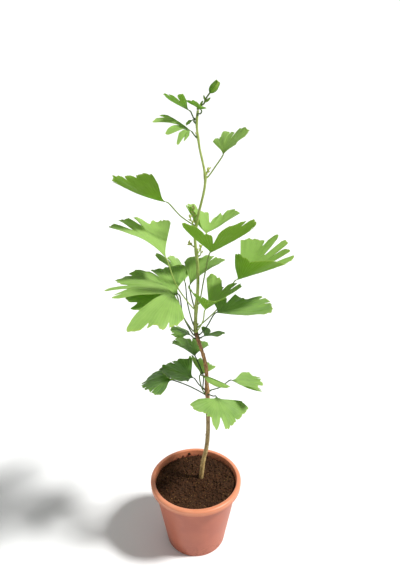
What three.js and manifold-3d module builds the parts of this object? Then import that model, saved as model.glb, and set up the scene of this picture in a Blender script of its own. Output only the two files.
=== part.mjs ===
// Potted ginkgo sapling: a tapered plastic nursery pot, a ball of potting soil, a woody stem,
// this year's green shoot on top of it, and fan-shaped leaves on long stalks.
//
// Millimetres, +Z up. The origin is the centre of the pot's flat underside. +X is to the
// viewer's right and -Y is the side that faces the viewer.

import * as THREE from "three";
import { mergeVertices } from "three/addons/utils/BufferGeometryUtils.js";
import Module from "manifold-3d";

// ---------------------------------------------------------------- driving dimensions

const POT_HEIGHT = 110;
const POT_BASE_DIAMETER = 92;
const POT_MOUTH_DIAMETER = 127;
const POT_WALL = 2.2;
const POT_FLOOR = 2.5;
const FOOT_CHAMFER = 1.2;
const RIM_WIDTH = 6.5;
const RIM_HEIGHT = 9.5;
const RIM_CROWN = 2.5;
const RIM_SKIRT_WALL = 2;
const RIM_TOP_THICKNESS = 4;
const DRAIN_HOLES = 5;
const DRAIN_HOLE_DIAMETER = 8;
const DRAIN_CIRCLE_DIAMETER = 58;

const SOIL_BELOW_RIM = 10;
const SOIL_ROUGHNESS = 1;
const SOIL_RINGS = [0.85, 0.65, 0.45, 0.25];
const BROAD_LUMPS = { x: 9, y: 7 };
const SMALL_LUMPS = { x: 13, y: 5, share: 0.6 };
const ROOT_DEPTH = 45;
const ROOT_TIP_DIAMETER = 3;

const WOOD_HEIGHT = 258;
const STEM_SOIL_DIAMETER = 7;
const STEM_SCAR_DIAMETER = 5;
const STEM_TIP_DIAMETER = 2.4;
const JOINT_SWELLING = 1;
const SWELLING_REACH = 6;

const STALK_DIAMETER = 1.6;
const STALK_CLIMB = 35;
const STALK_FOOT = 2;
const STALK_INTO_BLADE = 4;
const TWIG_DIAMETER = 1.4;
const TWIG_BUD_DIAMETER = 2.8;
const TWIG_BUD_LENGTH = 5;
const ROLLED_LEAF_DIAMETER = 12.5;
const ROLLED_LEAF_LENGTH = 17;
const ROLLED_LEAF_BLUNTNESS = 0.98;
const BLADE_THICKNESS = 0.7;
const BLADE_START = 2.2;

const CLEARANCE = 0.3;

const POT_SIDES = 40;
const STEM_SIDES = 10;
const STEM_RING_STEP = 8;
const STALK_SIDES = 6;
const STALK_RINGS = 8;
const BLADE_RINGS = [0.4, 0.75, 1];
const WIDEST_COLUMN = 20;
const CROWN_STEPS = [0.25, 0.5, 0.75];
const HALVINGS = 30;

const POT_COLOUR = 0xd8805a;
const SOIL_COLOUR = 0x2b211b;
const BARK_COLOUR = 0x8a6a4a;
const SHOOT_COLOUR = 0x9db452;
const LEAF_COLOUR = 0x78a545;

// The stem's centre line: x, y, height above the soil.
const STEM_ROUTE = [
  [8, 10, 0],
  [12, 9, 36],
  [16.5, 8, 60],
  [18.5, 7, 90],
  [18.5, 6, 118],
  [18, 5, 145],
  [16.5, 4, 171],
  [15, 3, 204],
  [8.5, 2.5, 231],
  [1, 2, 258],
  [0.5, 2, 282],
  [3.5, 2, 322],
  [3.5, 2, 355],
  [0, 1, 398],
  [4, 0, 424],
  [13, 0, 470],
  [5.5, 0, 512],
  [2.5, 0, 538],
  [4, 0, 554],
];

// One row per leaf.
// joint: where the stalk leaves the stem, as a height above the soil.
// side: the compass direction in which it leaves, in degrees from +X towards +Y.
// base: the blade's start, measured from that point of the stem.
// bow: how far the middle of the stalk lies off the straight line.
// heading, rise, roll: the direction of the blade's middle ray, and the turn about it.
// cup: half angle of the cone on which the fan lies; 90 is a flat fan.
// bend: how far the margin turns back, as a share of the radius.
// outline: angle from the middle ray and reach, as a share of the radius.
const LEAVES = [
  {
    name: "leaf_low_front", joint: 158, side: -65, base: [12, -20, 8], bow: [1, 0, -1],
    heading: -70, rise: -21, roll: 22, radius: 49, cup: 68, bend: 0.18,
    outline: [[-74, 0.7], [-68, 1], [-56, 0.98], [-43, 0.82], [-29, 0.82], [-15, 1.08],
      [-6, 0.66], [1, 1.02], [23, 0.89], [46, 0.91], [66, 1.04], [74, 0.8]],
  },
  {
    name: "leaf_low_right", joint: 162, side: 5, base: [34, 2, 17], bow: [0, 0, -3],
    heading: -11, rise: -10, roll: 11, radius: 51, cup: 86, bend: 0,
    outline: [[-36, 0.62], [-30, 1], [-22, 1], [4, 0.77], [17, 0.99], [28, 0.97], [40, 1.07],
      [48, 0.95], [62, 0.97], [72, 0.8]],
  },
  {
    name: "leaf_low_left", joint: 157, side: 190, base: [-49, -12, 30], bow: [0, 0, 2],
    heading: 186, rise: 13, roll: -8, radius: 46, cup: 64, bend: 0.43,
    outline: [[-62, 0.8], [-54, 0.95], [-34, 0.95], [-24, 0.99], [-9, 0.92], [19, 0.84],
      [32, 0.86], [52, 1.05], [60, 1.05], [66, 0.7]],
  },
  {
    name: "leaf_low_rear", joint: 163, side: 150, base: [-19, 7, 16], bow: [0, 0, -2],
    heading: 173, rise: 20, roll: -11, radius: 51, cup: 72, bend: 0.09,
    outline: [[-78, 0.85], [-74, 1.01], [-69, 0.83], [-56, 1.02], [-24, 0.97], [4, 1.02],
      [22, 0.95], [47, 0.99], [62, 0.92], [78, 0.85]],
  },
  {
    name: "leaf_low_fork", joint: 161, side: -150, base: [-11, -1.5, 27.6], bow: [-2, -3, 0],
    heading: 27, rise: 15, roll: -27, radius: 42, cup: 84, bend: 0.05,
    outline: [[-86, 0.33], [-73, 0.55], [-61, 1.02], [-55, 1.14], [-51, 0.98], [-49, 0.07],
      [-2, 0.07], [1, 0.66], [15, 0.6], [37, 0.58], [57, 0.68], [70, 0.6], [87, 0.76],
      [93, 0.58]],
  },
  {
    name: "leaf_mid_rear", joint: 165, side: 175, base: [-17, 10, 48], bow: [4.8, -6.7, -0.4],
    heading: 118, rise: 26, roll: -20, radius: 43, cup: 59, bend: 0.13,
    outline: [[-62, 0.82], [-54, 0.96], [-3, 0.96], [10, 1.04], [29, 0.88], [59, 0.96],
      [71, 0.98], [95, 0.92]],
  },
  {
    name: "leaf_whorl_left", joint: 249, side: 200, base: [-8, -4, 5], bow: [0, 0, -1],
    heading: 177, rise: 34, roll: -14, radius: 34, cup: 80, bend: 0.22,
    outline: [[-80, 0.8], [-64, 0.93], [-45, 0.95], [10, 0.95], [32, 1], [43, 0.92], [55, 0.67]],
  },
  {
    name: "leaf_whorl_right", joint: 250, side: -30, base: [7, -6, 4], bow: [0, 0, -1],
    heading: 2, rise: 17, roll: 15, radius: 33, cup: 74, bend: 0.15,
    outline: [[-46, 0.8], [-30, 0.85], [20, 0.98], [35, 0.93], [38, 0.35], [72, 0.95],
      [92, 0.9]],
  },
  {
    name: "leaf_big_left", joint: 261, side: -140, base: [-25, -25, 63], bow: [-4, 0, -2],
    heading: 221, rise: 29, roll: 16, radius: 78, cup: 72, bend: 0.45,
    outline: [[-70, 0.55], [-66, 0.8], [-55, 0.86], [-43, 0.9], [-37, 0.98], [-30, 0.87],
      [-25, 1.05], [-21, 1.05], [-18, 0.76], [-12, 0.98], [-5, 1.05], [-2, 0.92], [3, 0.38],
      [10, 0.29], [17, 0.6], [21, 0.98], [25, 1.2], [31, 1.12], [36, 1.03], [40, 0.93],
      [44, 0.98], [57, 0.81], [68, 0.65]],
  },
  {
    name: "leaf_dark_left", joint: 255, side: 215, base: [-23, -14, 65], bow: [-5, 2, -2],
    heading: 170, rise: 22, roll: 17, radius: 67, cup: 86, bend: 0.18,
    outline: [[-89, 0.82], [-72, 0.95], [-55, 0.94], [-50, 0.88], [-40, 0.93], [-28, 0.9],
      [0, 0.95], [30, 1.06], [37, 1.01], [41, 0.82], [46, 1.06], [54, 0.9], [58, 0.75]],
  },
  {
    name: "leaf_front_cup", joint: 262, side: -60, base: [12.5, -25, 40.5], bow: [3, 0, 0],
    heading: -37, rise: 41, roll: 2, radius: 52, cup: 38, bend: 0.06,
    outline: [[-86, 0.82], [-62, 0.93], [-51, 0.9], [-36, 1], [-28, 0.96], [-20, 0.88],
      [-9, 0.78], [14, 0.8], [20, 1.15], [28, 1.15], [38, 1.04], [52, 0.74], [58, 0.87],
      [71, 0.97], [78, 0.97], [84, 0.85]],
  },
  {
    name: "leaf_dark_cup", joint: 255, side: -25, base: [25.5, -35, 48], bow: [0, 0, -3],
    heading: 18, rise: -2, roll: 2, radius: 65, cup: 72, bend: -0.06,
    outline: [[-58, 0.75], [-48, 1.02], [-40, 1.08], [-11, 1.15], [10, 1.25], [20, 1.25],
      [26, 0.88], [38, 0.92], [45, 0.92], [47, 0.45], [52, 0.68], [75, 0.64], [92, 0.55]],
  },
  {
    name: "leaf_big_right", joint: 266, side: 15, base: [55, 12, 65], bow: [5, 8, -7],
    heading: -15, rise: 25, roll: -5, radius: 80, cup: 39, bend: -0.03,
    outline: [[-84, 0.64], [-70, 0.77], [-56, 0.83], [-43, 1], [-38, 1.1], [-20, 1], [0, 0.98],
      [10, 1.08], [19, 1.02], [24, 0.94], [28, 1.13], [32, 1.12], [35, 0.9], [38, 1.1],
      [42, 1.02], [45, 0.88], [60, 0.82], [79, 0.7]],
  },
  {
    name: "leaf_far_left", joint: 268, side: 130, base: [-15.5, 60, 41], bow: [-3, 3, 0],
    heading: 136, rise: 60, roll: -29, radius: 62, cup: 86, bend: 0.25,
    outline: [[-76, 0.95], [-63, 0.92], [-52, 0.94], [-37, 0.84], [0, 0.75], [19, 0.7],
      [24, 0.95], [33, 1.03], [38, 0.85]],
  },
  {
    name: "leaf_behind_shoot", joint: 293, side: 120, base: [-9, 9, 31], bow: [-1, 1, 0],
    heading: 59, rise: 48, roll: 11, radius: 58, cup: 56, bend: 0.28,
    outline: [[-36, 0.85], [-31, 1], [-8, 0.95], [5, 0.96], [8, 0.84], [20, 0.93], [31, 0.97],
      [36, 0.8]],
  },
  {
    name: "leaf_upper_left", joint: 295, side: 215, base: [-38, -19.5, 77], bow: [-5, -6, 0],
    heading: 142, rise: 51, roll: -8, radius: 75, cup: 42, bend: 0.31,
    outline: [[-39, 0.8], [-37, 0.94], [-30, 0.93], [-26, 0.84], [-23, 0.94], [-17, 0.78],
      [-13, 0.95], [-8, 0.98], [6, 1.01], [25, 1.03], [32, 0.92], [39, 0.75]],
  },
  {
    name: "leaf_front_open", joint: 302, side: -50, base: [17, -17.5, 77], bow: [0, 0, 0],
    heading: -50, rise: 37, roll: 10, radius: 70, cup: 64, bend: -0.07,
    outline: [[-64, 0.9], [-61, 1.05], [-55, 1.06], [-48, 0.97], [-36, 0.71], [-29, 0.66],
      [-25, 0.33], [-20, 0.75], [-16, 0.95], [-9, 0.96], [-5, 1.17], [9, 1.2], [15, 1.14],
      [44, 0.82], [70, 0.78], [90, 0.7]],
  },
  {
    name: "leaf_pale_rear", joint: 374, side: 45, base: [13.5, 15, 22.5], bow: [1, 1, 0],
    heading: 115, rise: 23, roll: -21, radius: 50, cup: 56, bend: -0.18,
    outline: [[-96, 1.1], [-68, 1.16], [-61, 1.06], [-57, 0.88], [-51, 0.96], [-42, 0.73],
      [-38, 0.48], [-32, 0.63], [-28, 0.92], [-13, 0.92], [7, 1.07], [39, 0.94], [72, 0.8],
      [90, 0.55]],
  },
  {
    name: "leaf_top_left", joint: 412, side: 185, base: [-37, 0, 30], bow: [0, 0, -3],
    heading: 193, rise: 12, roll: -16, radius: 69, cup: 60, bend: -0.21,
    outline: [[-62, 0.5], [-57, 0.7], [-35, 0.93], [-9, 1.01], [7, 1.06], [25, 1.02],
      [36, 0.97], [53, 0.88], [62, 0.79], [66, 0.5]],
  },
  {
    name: "leaf_top_right", joint: 474, side: 10, base: [22, 5, 26], bow: [0, 0, -1],
    heading: 47, rise: 62, roll: 13, radius: 42, cup: 69, bend: 0.2,
    outline: [[-58, 0.55], [-46, 0.9], [-38, 1.02], [-24, 1.02], [-6, 0.94], [-2, 0.76],
      [12, 0.86], [26, 1.01], [34, 1.06], [37, 0.84], [49, 0.93], [56, 0.85]],
  },
  {
    name: "leaf_top_front", joint: 523, side: 220, base: [-7, -5, 6], bow: [0, 0, -0.5],
    heading: 234, rise: 28, roll: 27, radius: 46, cup: 40, bend: 0.5,
    outline: [[-33, 0.7], [-30, 0.8], [-14, 1.04], [-10, 0.5], [8, 0.98], [12, 0.94],
      [14, 0.56], [23, 1.03], [28, 0.9], [32, 0.7]],
  },
  {
    name: "leaf_young_left", joint: 544, side: 180, base: [-8, -1, 9], bow: [0, 0, -1],
    heading: 191, rise: 27, roll: -6, radius: 37, cup: 72, bend: -0.07,
    outline: [[-50, 0.6], [-44, 0.95], [10, 1.02], [29, 0.93], [36, 0.73], [44, 0.87],
      [57, 1.03], [62, 0.6]],
  },
  {
    name: "leaf_young_low", joint: 540, side: 215, base: [-4, -2.5, 3], bow: [0, 0, 0],
    heading: 200, rise: -25, roll: 0, radius: 11, cup: 60, bend: 0.2,
    outline: [[-60, 0.7], [-40, 0.95], [-15, 1], [15, 0.9], [40, 1], [60, 0.7]],
  },
  {
    name: "leaf_young_top", joint: 549, side: -80, base: [5, -8, 4.5], bow: [1, -1, -1],
    heading: 201, rise: 41, roll: -3, radius: 23, cup: 86, bend: 0.09,
    outline: [[-36, 0.6], [-28, 0.95], [15, 0.82], [45, 1.04], [59, 0.92], [81, 0.9]],
  },
];

// Short side twigs: where they leave the stem, and their tip measured from that point.
const TWIGS = [
  { name: "twig_left_lower", joint: 383, side: 180, tip: [-10, 3, 6], bow: [0, 0, -1] },
  { name: "twig_right_lower", joint: 370, side: -10, tip: [4, -3, 17], bow: [2, 0, 0] },
  { name: "twig_left_upper", joint: 417, side: 160, tip: [-5, 4, 21], bow: [-1, 0, 0] },
  { name: "twig_left_upper_fork", joint: 410, side: 130, tip: [-9, 6, 15], bow: [-1, 1, 0] },
  { name: "twig_right_upper", joint: 478, side: 60, tip: [5, 4, 8], bow: [1, 0, 0] },
];

// The rolled young leaf's stalk and body, measured from the tip of the shoot.
const ROLLED_LEAF_ROUTE = [
  [0.2, 0, 3],
  [7, 0, 7],
  [9, 0, 12],
  [14, 0, 19],
  [20, 0, 27],
  [24.5, 0, 33],
];

// ---------------------------------------------------------------- shared helpers

const wasm = await Module();
wasm.setup();

const radians = (degrees) => THREE.MathUtils.degToRad(degrees);
const vector = (list) => new THREE.Vector3(...list);
const lerp = THREE.MathUtils.lerp;

/** One closed mesh with shared vertices and no zero-width triangles. */
function closed(geometry) {
  const bare = geometry.clone();
  bare.deleteAttribute("normal");
  bare.deleteAttribute("uv");
  const merged = mergeVertices(bare, 1e-4);
  const kept = [];
  for (let i = 0; i < merged.index.count; i += 3) {
    const [a, b, c] = [0, 1, 2].map((k) => merged.index.getX(i + k));
    if (a !== b && b !== c && c !== a) kept.push(a, b, c);
  }
  merged.setIndex(kept);
  return merged;
}

function toSolid(geometry) {
  const mesh = closed(geometry);
  const vertProperties = new Float32Array(mesh.attributes.position.array);
  const triVerts = new Uint32Array(mesh.index.array);
  return new wasm.Manifold(new wasm.Mesh({ numProp: 3, vertProperties, triVerts }));
}

function fromSolid(solid) {
  const { vertProperties, triVerts } = solid.getMesh();
  const geometry = new THREE.BufferGeometry();
  geometry.setAttribute("position", new THREE.BufferAttribute(vertProperties, 3));
  geometry.setIndex(new THREE.BufferAttribute(triVerts, 1));
  return geometry;
}

function part(name, geometry, color, roughness = 0.7) {
  const material = new THREE.MeshStandardMaterial({ color, roughness, metalness: 0 });
  const mesh = new THREE.Mesh(geometry, material);
  mesh.name = name;
  return mesh;
}

/**
 * A round stalk of changing radius along a curve: a lathe of its radius, bent to the curve.
 * radiusAt takes the share of the length, from 0 to 1, and the centre point there.
 */
function stalk(curve, radiusAt, rings, sides, frames = curve.computeFrenetFrames(rings)) {
  const centres = curve.getSpacedPoints(rings);
  const profile = centres.map((centre, k) => new THREE.Vector2(radiusAt(k / rings, centre), k));
  profile.unshift(new THREE.Vector2(0, 0));
  profile.push(new THREE.Vector2(0, rings));
  const geometry = new THREE.LatheGeometry(profile, sides);
  const { tangents, normals } = frames;
  const position = geometry.attributes.position;
  const point = new THREE.Vector3();
  for (let i = 0; i < position.count; i += 1) {
    const k = Math.round(position.getY(i));
    const across = normals[k].clone().cross(tangents[k]);
    point.copy(centres[k]);
    point.addScaledVector(normals[k], position.getX(i));
    point.addScaledVector(across, position.getZ(i));
    position.setXYZ(i, point.x, point.y, point.z);
  }
  return geometry;
}

// ---------------------------------------------------------------- pot

const baseRadius = POT_BASE_DIAMETER / 2;
const mouthRadius = POT_MOUTH_DIAMETER / 2;
const rimRadius = mouthRadius + RIM_WIDTH;
const rimFoot = POT_HEIGHT - RIM_HEIGHT;

/** Inside radius of the pot wall at a height above its underside. */
function insideRadius(z) {
  return lerp(baseRadius - POT_WALL, mouthRadius, (z - POT_FLOOR) / (POT_HEIGHT - POT_FLOOR));
}

function potBody() {
  const outside = (z) => insideRadius(z) + POT_WALL;
  const grooveTop = POT_HEIGHT - RIM_TOP_THICKNESS;
  const crown = CROWN_STEPS.map((t) => [
    rimRadius - RIM_WIDTH * (1 - Math.cos(t * Math.PI / 2)),
    POT_HEIGHT - RIM_CROWN * (1 - Math.sin(t * Math.PI / 2)),
  ]);
  const profile = [
    [0, 0],
    [outside(POT_FLOOR) - FOOT_CHAMFER, 0],
    [outside(POT_FLOOR), FOOT_CHAMFER],
    [outside(rimFoot), rimFoot],
    [outside(grooveTop), grooveTop],
    [rimRadius - RIM_SKIRT_WALL, grooveTop],
    [rimRadius - RIM_SKIRT_WALL, rimFoot],
    [rimRadius, rimFoot],
    [rimRadius, POT_HEIGHT - RIM_CROWN],
    ...crown,
    [mouthRadius, POT_HEIGHT],
    [insideRadius(POT_FLOOR), POT_FLOOR],
    [0, POT_FLOOR],
  ];
  const shell = new THREE.LatheGeometry(profile.map(([r, z]) => new THREE.Vector2(r, z)), POT_SIDES);
  return shell.rotateX(Math.PI / 2);
}

function pot() {
  let solid = toSolid(potBody());
  for (let i = 0; i < DRAIN_HOLES; i += 1) {
    const angle = (2 * Math.PI * i) / DRAIN_HOLES;
    const hole = new THREE.CylinderGeometry(
      DRAIN_HOLE_DIAMETER / 2, DRAIN_HOLE_DIAMETER / 2, 3 * POT_FLOOR, 16);
    hole.rotateX(Math.PI / 2);
    hole.translate(
      Math.cos(angle) * DRAIN_CIRCLE_DIAMETER / 2,
      Math.sin(angle) * DRAIN_CIRCLE_DIAMETER / 2,
      POT_FLOOR / 2);
    solid = solid.subtract(toSolid(hole));
  }
  return fromSolid(solid);
}

// ---------------------------------------------------------------- stem

const soilTop = POT_HEIGHT - SOIL_BELOW_RIM;
const shootTop = STEM_ROUTE.at(-1)[2];
const stemCurve = new THREE.CatmullRomCurve3(
  STEM_ROUTE.map(([x, y, h]) => new THREE.Vector3(x, y, soilTop + h)), false, "centripetal");

/** The point of the stem's centre line at a height above the soil. */
function stemPoint(height) {
  let low = 0;
  let high = 1;
  for (let i = 0; i < HALVINGS; i += 1) {
    const middle = (low + high) / 2;
    if (stemCurve.getPoint(middle).z < soilTop + height) low = middle;
    else high = middle;
  }
  return stemCurve.getPoint(low);
}

/** Stem radius at a height above the soil, swollen where stalks leave it. */
function stemRadius(height) {
  if (height < 0) return lerp(STEM_SOIL_DIAMETER, ROOT_TIP_DIAMETER, -height / ROOT_DEPTH) / 2;
  const diameter = height < WOOD_HEIGHT
    ? lerp(STEM_SOIL_DIAMETER, STEM_SCAR_DIAMETER, height / WOOD_HEIGHT)
    : lerp(STEM_SCAR_DIAMETER, STEM_TIP_DIAMETER,
      (height - WOOD_HEIGHT) / (shootTop - WOOD_HEIGHT));
  const distances = LEAVES.map(({ joint }) => Math.abs(joint - height));
  const swelling = Math.exp(-((Math.min(...distances) / SWELLING_REACH) ** 2));
  return (diameter + JOINT_SWELLING * swelling) / 2;
}

/** A length of stem between two heights, with level ends, wider all over by extra. */
function stemLength(from, to, extra = 0) {
  const rings = Math.round((to - from) / STEM_RING_STEP);
  const points = [];
  for (let k = 0; k <= rings; k += 1) {
    const height = lerp(from, to, k / rings);
    const point = stemPoint(Math.max(height, 0));
    point.z = soilTop + height;
    points.push(point);
  }
  const curve = new THREE.CatmullRomCurve3(points);
  const level = {
    tangents: points.map(() => new THREE.Vector3(0, 0, 1)),
    normals: points.map(() => new THREE.Vector3(1, 0, 0)),
  };
  const radiusAt = (t, centre) => stemRadius(centre.z - soilTop) + extra;
  return stalk(curve, radiusAt, rings, STEM_SIDES, level);
}

// ---------------------------------------------------------------- soil

function soil() {
  const bottom = POT_FLOOR + CLEARANCE;
  const edge = insideRadius(soilTop - SOIL_ROUGHNESS) - CLEARANCE;
  const steps = SOIL_RINGS.map((share) => [edge * share, soilTop]);
  const profile = [
    [0, bottom],
    [insideRadius(bottom) - CLEARANCE, bottom],
    [edge, soilTop - SOIL_ROUGHNESS],
    ...steps,
    [0, soilTop],
  ];
  const ball = new THREE.LatheGeometry(profile.map(([r, z]) => new THREE.Vector2(r, z)), POT_SIDES);
  ball.rotateX(Math.PI / 2);
  const position = ball.attributes.position;
  for (let i = 0; i < position.count; i += 1) {
    if (position.getZ(i) < soilTop - SOIL_ROUGHNESS / 2) continue;
    const x = position.getX(i);
    const y = position.getY(i);
    const broad = Math.sin(x / BROAD_LUMPS.x + 1) * Math.cos(y / BROAD_LUMPS.y);
    const small = Math.sin(y / SMALL_LUMPS.y - x / SMALL_LUMPS.x);
    const height = lerp(broad, small, SMALL_LUMPS.share / (1 + SMALL_LUMPS.share));
    position.setZ(i, soilTop + SOIL_ROUGHNESS * height);
  }
  const hole = stemLength(-ROOT_DEPTH - CLEARANCE, WOOD_HEIGHT / 4, CLEARANCE);
  return fromSolid(toSolid(ball).subtract(toSolid(hole)));
}

// ---------------------------------------------------------------- leaves and twigs

/** Where a stalk starts: clear of the stem by CLEARANCE, and the way it sets off. */
function stalkStart(joint, side, radius) {
  const climb = radians(STALK_CLIMB);
  const outward = new THREE.Vector3(Math.cos(radians(side)), Math.sin(radians(side)), 0);
  const distance = stemRadius(joint) + CLEARANCE + radius * Math.sin(climb);
  const start = stemPoint(joint).addScaledVector(outward, distance);
  const way = outward.multiplyScalar(Math.cos(climb)).setZ(Math.sin(climb));
  return { start, way };
}

/** A stalk's centre line from the stem, through its bowed middle, to the end and beyond it. */
function stalkCurve({ joint, side, bow }, radius, end, endWay) {
  const { start, way } = stalkStart(joint, side, radius);
  const points = [start, start.clone().addScaledVector(way, STALK_FOOT)];
  points.push(start.clone().lerp(end, 0.5).add(vector(bow)), end);
  if (endWay) points.push(end.clone().addScaledVector(endWay, STALK_INTO_BLADE));
  return new THREE.CatmullRomCurve3(points);
}

/** The blade's own axes: along its middle ray, to its left, and up from its upper face. */
function bladeAxes({ heading, rise, roll }) {
  const a = radians(heading);
  const e = radians(rise);
  const along = new THREE.Vector3(
    Math.cos(a) * Math.cos(e), Math.sin(a) * Math.cos(e), Math.sin(e));
  const up = new THREE.Vector3(
    -Math.cos(a) * Math.sin(e), -Math.sin(a) * Math.sin(e), Math.cos(e));
  up.applyAxisAngle(along, -radians(roll));
  return { along, left: up.clone().cross(along), up };
}

/** Reach of the margin at an angle, as a share of the radius. */
function reachAt(outline, angle) {
  const next = Math.max(1, outline.findIndex(([degrees]) => degrees >= angle));
  const [fromAngle, fromReach] = outline[next - 1];
  const [toAngle, toReach] = outline[next];
  return lerp(fromReach, toReach, (angle - fromAngle) / (toAngle - fromAngle));
}

/** The outline's angles, with more between those that lie far apart. */
function columnAngles(outline) {
  const angles = [outline[0][0]];
  for (const [angle] of outline.slice(1)) {
    const from = angles.at(-1);
    const parts = Math.ceil((angle - from) / WIDEST_COLUMN);
    for (let k = 1; k <= parts; k += 1) angles.push(lerp(from, angle, k / parts));
  }
  return angles;
}

/** A fan on a cone about an axis that leans up from the middle ray; its margin turns back. */
function bladePoint(leaf, axes, start, angle, r, lift) {
  const cup = radians(leaf.cup);
  const turn = radians(angle) / Math.sin(cup);
  const axis = axes.along.clone().multiplyScalar(Math.cos(cup));
  axis.addScaledVector(axes.up, Math.sin(cup));
  const below = axes.along.clone().multiplyScalar(Math.sin(cup));
  below.addScaledVector(axes.up, -Math.cos(cup));
  const around = below.multiplyScalar(Math.cos(turn));
  around.addScaledVector(axes.left, Math.sin(turn));
  const drop = leaf.bend * leaf.radius * (r / leaf.radius) ** 2;
  const outward = r * Math.sin(cup) - (lift - drop) * Math.cos(cup);
  const inward = r * Math.cos(cup) + (lift - drop) * Math.sin(cup);
  return start.clone().addScaledVector(axis, inward).addScaledVector(around, outward);
}

/** The blade as one thin closed sheet: upper face, lower face and the edge between them. */
function bladeSheet(leaf, axes, start) {
  const angles = columnAngles(leaf.outline);
  const shares = [0, ...BLADE_RINGS];
  const columns = angles.length;
  const rings = shares.length;
  const positions = [];
  for (const lift of [BLADE_THICKNESS / 2, -BLADE_THICKNESS / 2]) {
    for (const angle of angles) {
      const margin = leaf.radius * reachAt(leaf.outline, angle);
      for (const share of shares) {
        const r = lerp(BLADE_START, margin, share);
        positions.push(...bladePoint(leaf, axes, start, angle, r, lift).toArray());
      }
    }
  }
  const upper = (i, j) => i * rings + j;
  const lower = (i, j) => columns * rings + upper(i, j);
  const faces = [];
  for (let i = 0; i + 1 < columns; i += 1) {
    for (let j = 0; j + 1 < rings; j += 1) {
      faces.push(upper(i, j), upper(i, j + 1), upper(i + 1, j + 1));
      faces.push(upper(i, j), upper(i + 1, j + 1), upper(i + 1, j));
      faces.push(lower(i, j), lower(i + 1, j + 1), lower(i, j + 1));
      faces.push(lower(i, j), lower(i + 1, j), lower(i + 1, j + 1));
    }
  }
  const edge = [];
  for (let j = 0; j + 1 < rings; j += 1) edge.push([0, j]);
  for (let i = 0; i + 1 < columns; i += 1) edge.push([i, rings - 1]);
  for (let j = rings - 1; j > 0; j -= 1) edge.push([columns - 1, j]);
  for (let i = columns - 1; i > 0; i -= 1) edge.push([i, 0]);
  edge.forEach((here, k) => {
    const next = edge[(k + 1) % edge.length];
    faces.push(lower(...here), lower(...next), upper(...next));
    faces.push(lower(...here), upper(...next), upper(...here));
  });
  const geometry = new THREE.BufferGeometry();
  geometry.setAttribute("position", new THREE.Float32BufferAttribute(positions, 3));
  geometry.setIndex(faces);
  return geometry;
}

/** One leaf: its stalk and its fan-shaped blade, grown together. */
function leafPiece(leaf) {
  const axes = bladeAxes(leaf);
  const start = stemPoint(leaf.joint).add(vector(leaf.base));
  const curve = stalkCurve(leaf, STALK_DIAMETER / 2, start, axes.along);
  const handle = stalk(curve, () => STALK_DIAMETER / 2, STALK_RINGS, STALK_SIDES);
  return fromSolid(toSolid(handle).add(toSolid(bladeSheet(leaf, axes, start))));
}

/** A short side twig with a bud at its end. */
function twigPiece(twig) {
  const end = stemPoint(twig.joint).add(vector(twig.tip));
  const curve = stalkCurve(twig, TWIG_DIAMETER / 2, end);
  const budShare = TWIG_BUD_LENGTH / curve.getLength();
  const radiusAt = (t) => {
    const along = (t - 1 + budShare) / budShare;
    if (along < 0) return TWIG_DIAMETER / 2;
    return lerp(TWIG_DIAMETER, TWIG_BUD_DIAMETER, Math.sin(Math.PI * along)) / 2;
  };
  return stalk(curve, radiusAt, STALK_RINGS, STALK_SIDES);
}

/** The youngest leaf, still rolled up into an egg shape on its stalk at the tip of the shoot. */
function rolledLeaf() {
  const foot = stemPoint(shootTop);
  foot.z += CLEARANCE;
  const route = ROLLED_LEAF_ROUTE.map((offset) => foot.clone().add(vector(offset)));
  const curve = new THREE.CatmullRomCurve3([foot, ...route]);
  const eggShare = ROLLED_LEAF_LENGTH / curve.getLength();
  const radiusAt = (t) => {
    const along = (t - 1 + eggShare) / eggShare;
    if (along <= 0) return STALK_DIAMETER / 2;
    const egg = Math.sqrt(Math.sin(Math.PI * Math.min(along, ROLLED_LEAF_BLUNTNESS)));
    return Math.max(STALK_DIAMETER, ROLLED_LEAF_DIAMETER * egg) / 2;
  };
  return stalk(curve, radiusAt, 2 * STALK_RINGS, 2 * STALK_SIDES);
}

// ---------------------------------------------------------------- assembly

const group = new THREE.Group();
group.add(part("pot", pot(), POT_COLOUR, 0.5));
group.add(part("potting_soil", soil(), SOIL_COLOUR, 1));
group.add(part("woody_stem", stemLength(-ROOT_DEPTH, WOOD_HEIGHT), BARK_COLOUR, 0.85));
group.add(part("green_shoot", stemLength(WOOD_HEIGHT + CLEARANCE, shootTop), SHOOT_COLOUR));
for (const twig of TWIGS) group.add(part(twig.name, twigPiece(twig), SHOOT_COLOUR));
for (const leaf of LEAVES) group.add(part(leaf.name, leafPiece(leaf), LEAF_COLOUR));
group.add(part("leaf_rolled_tip", rolledLeaf(), SHOOT_COLOUR));

export default group;
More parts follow.
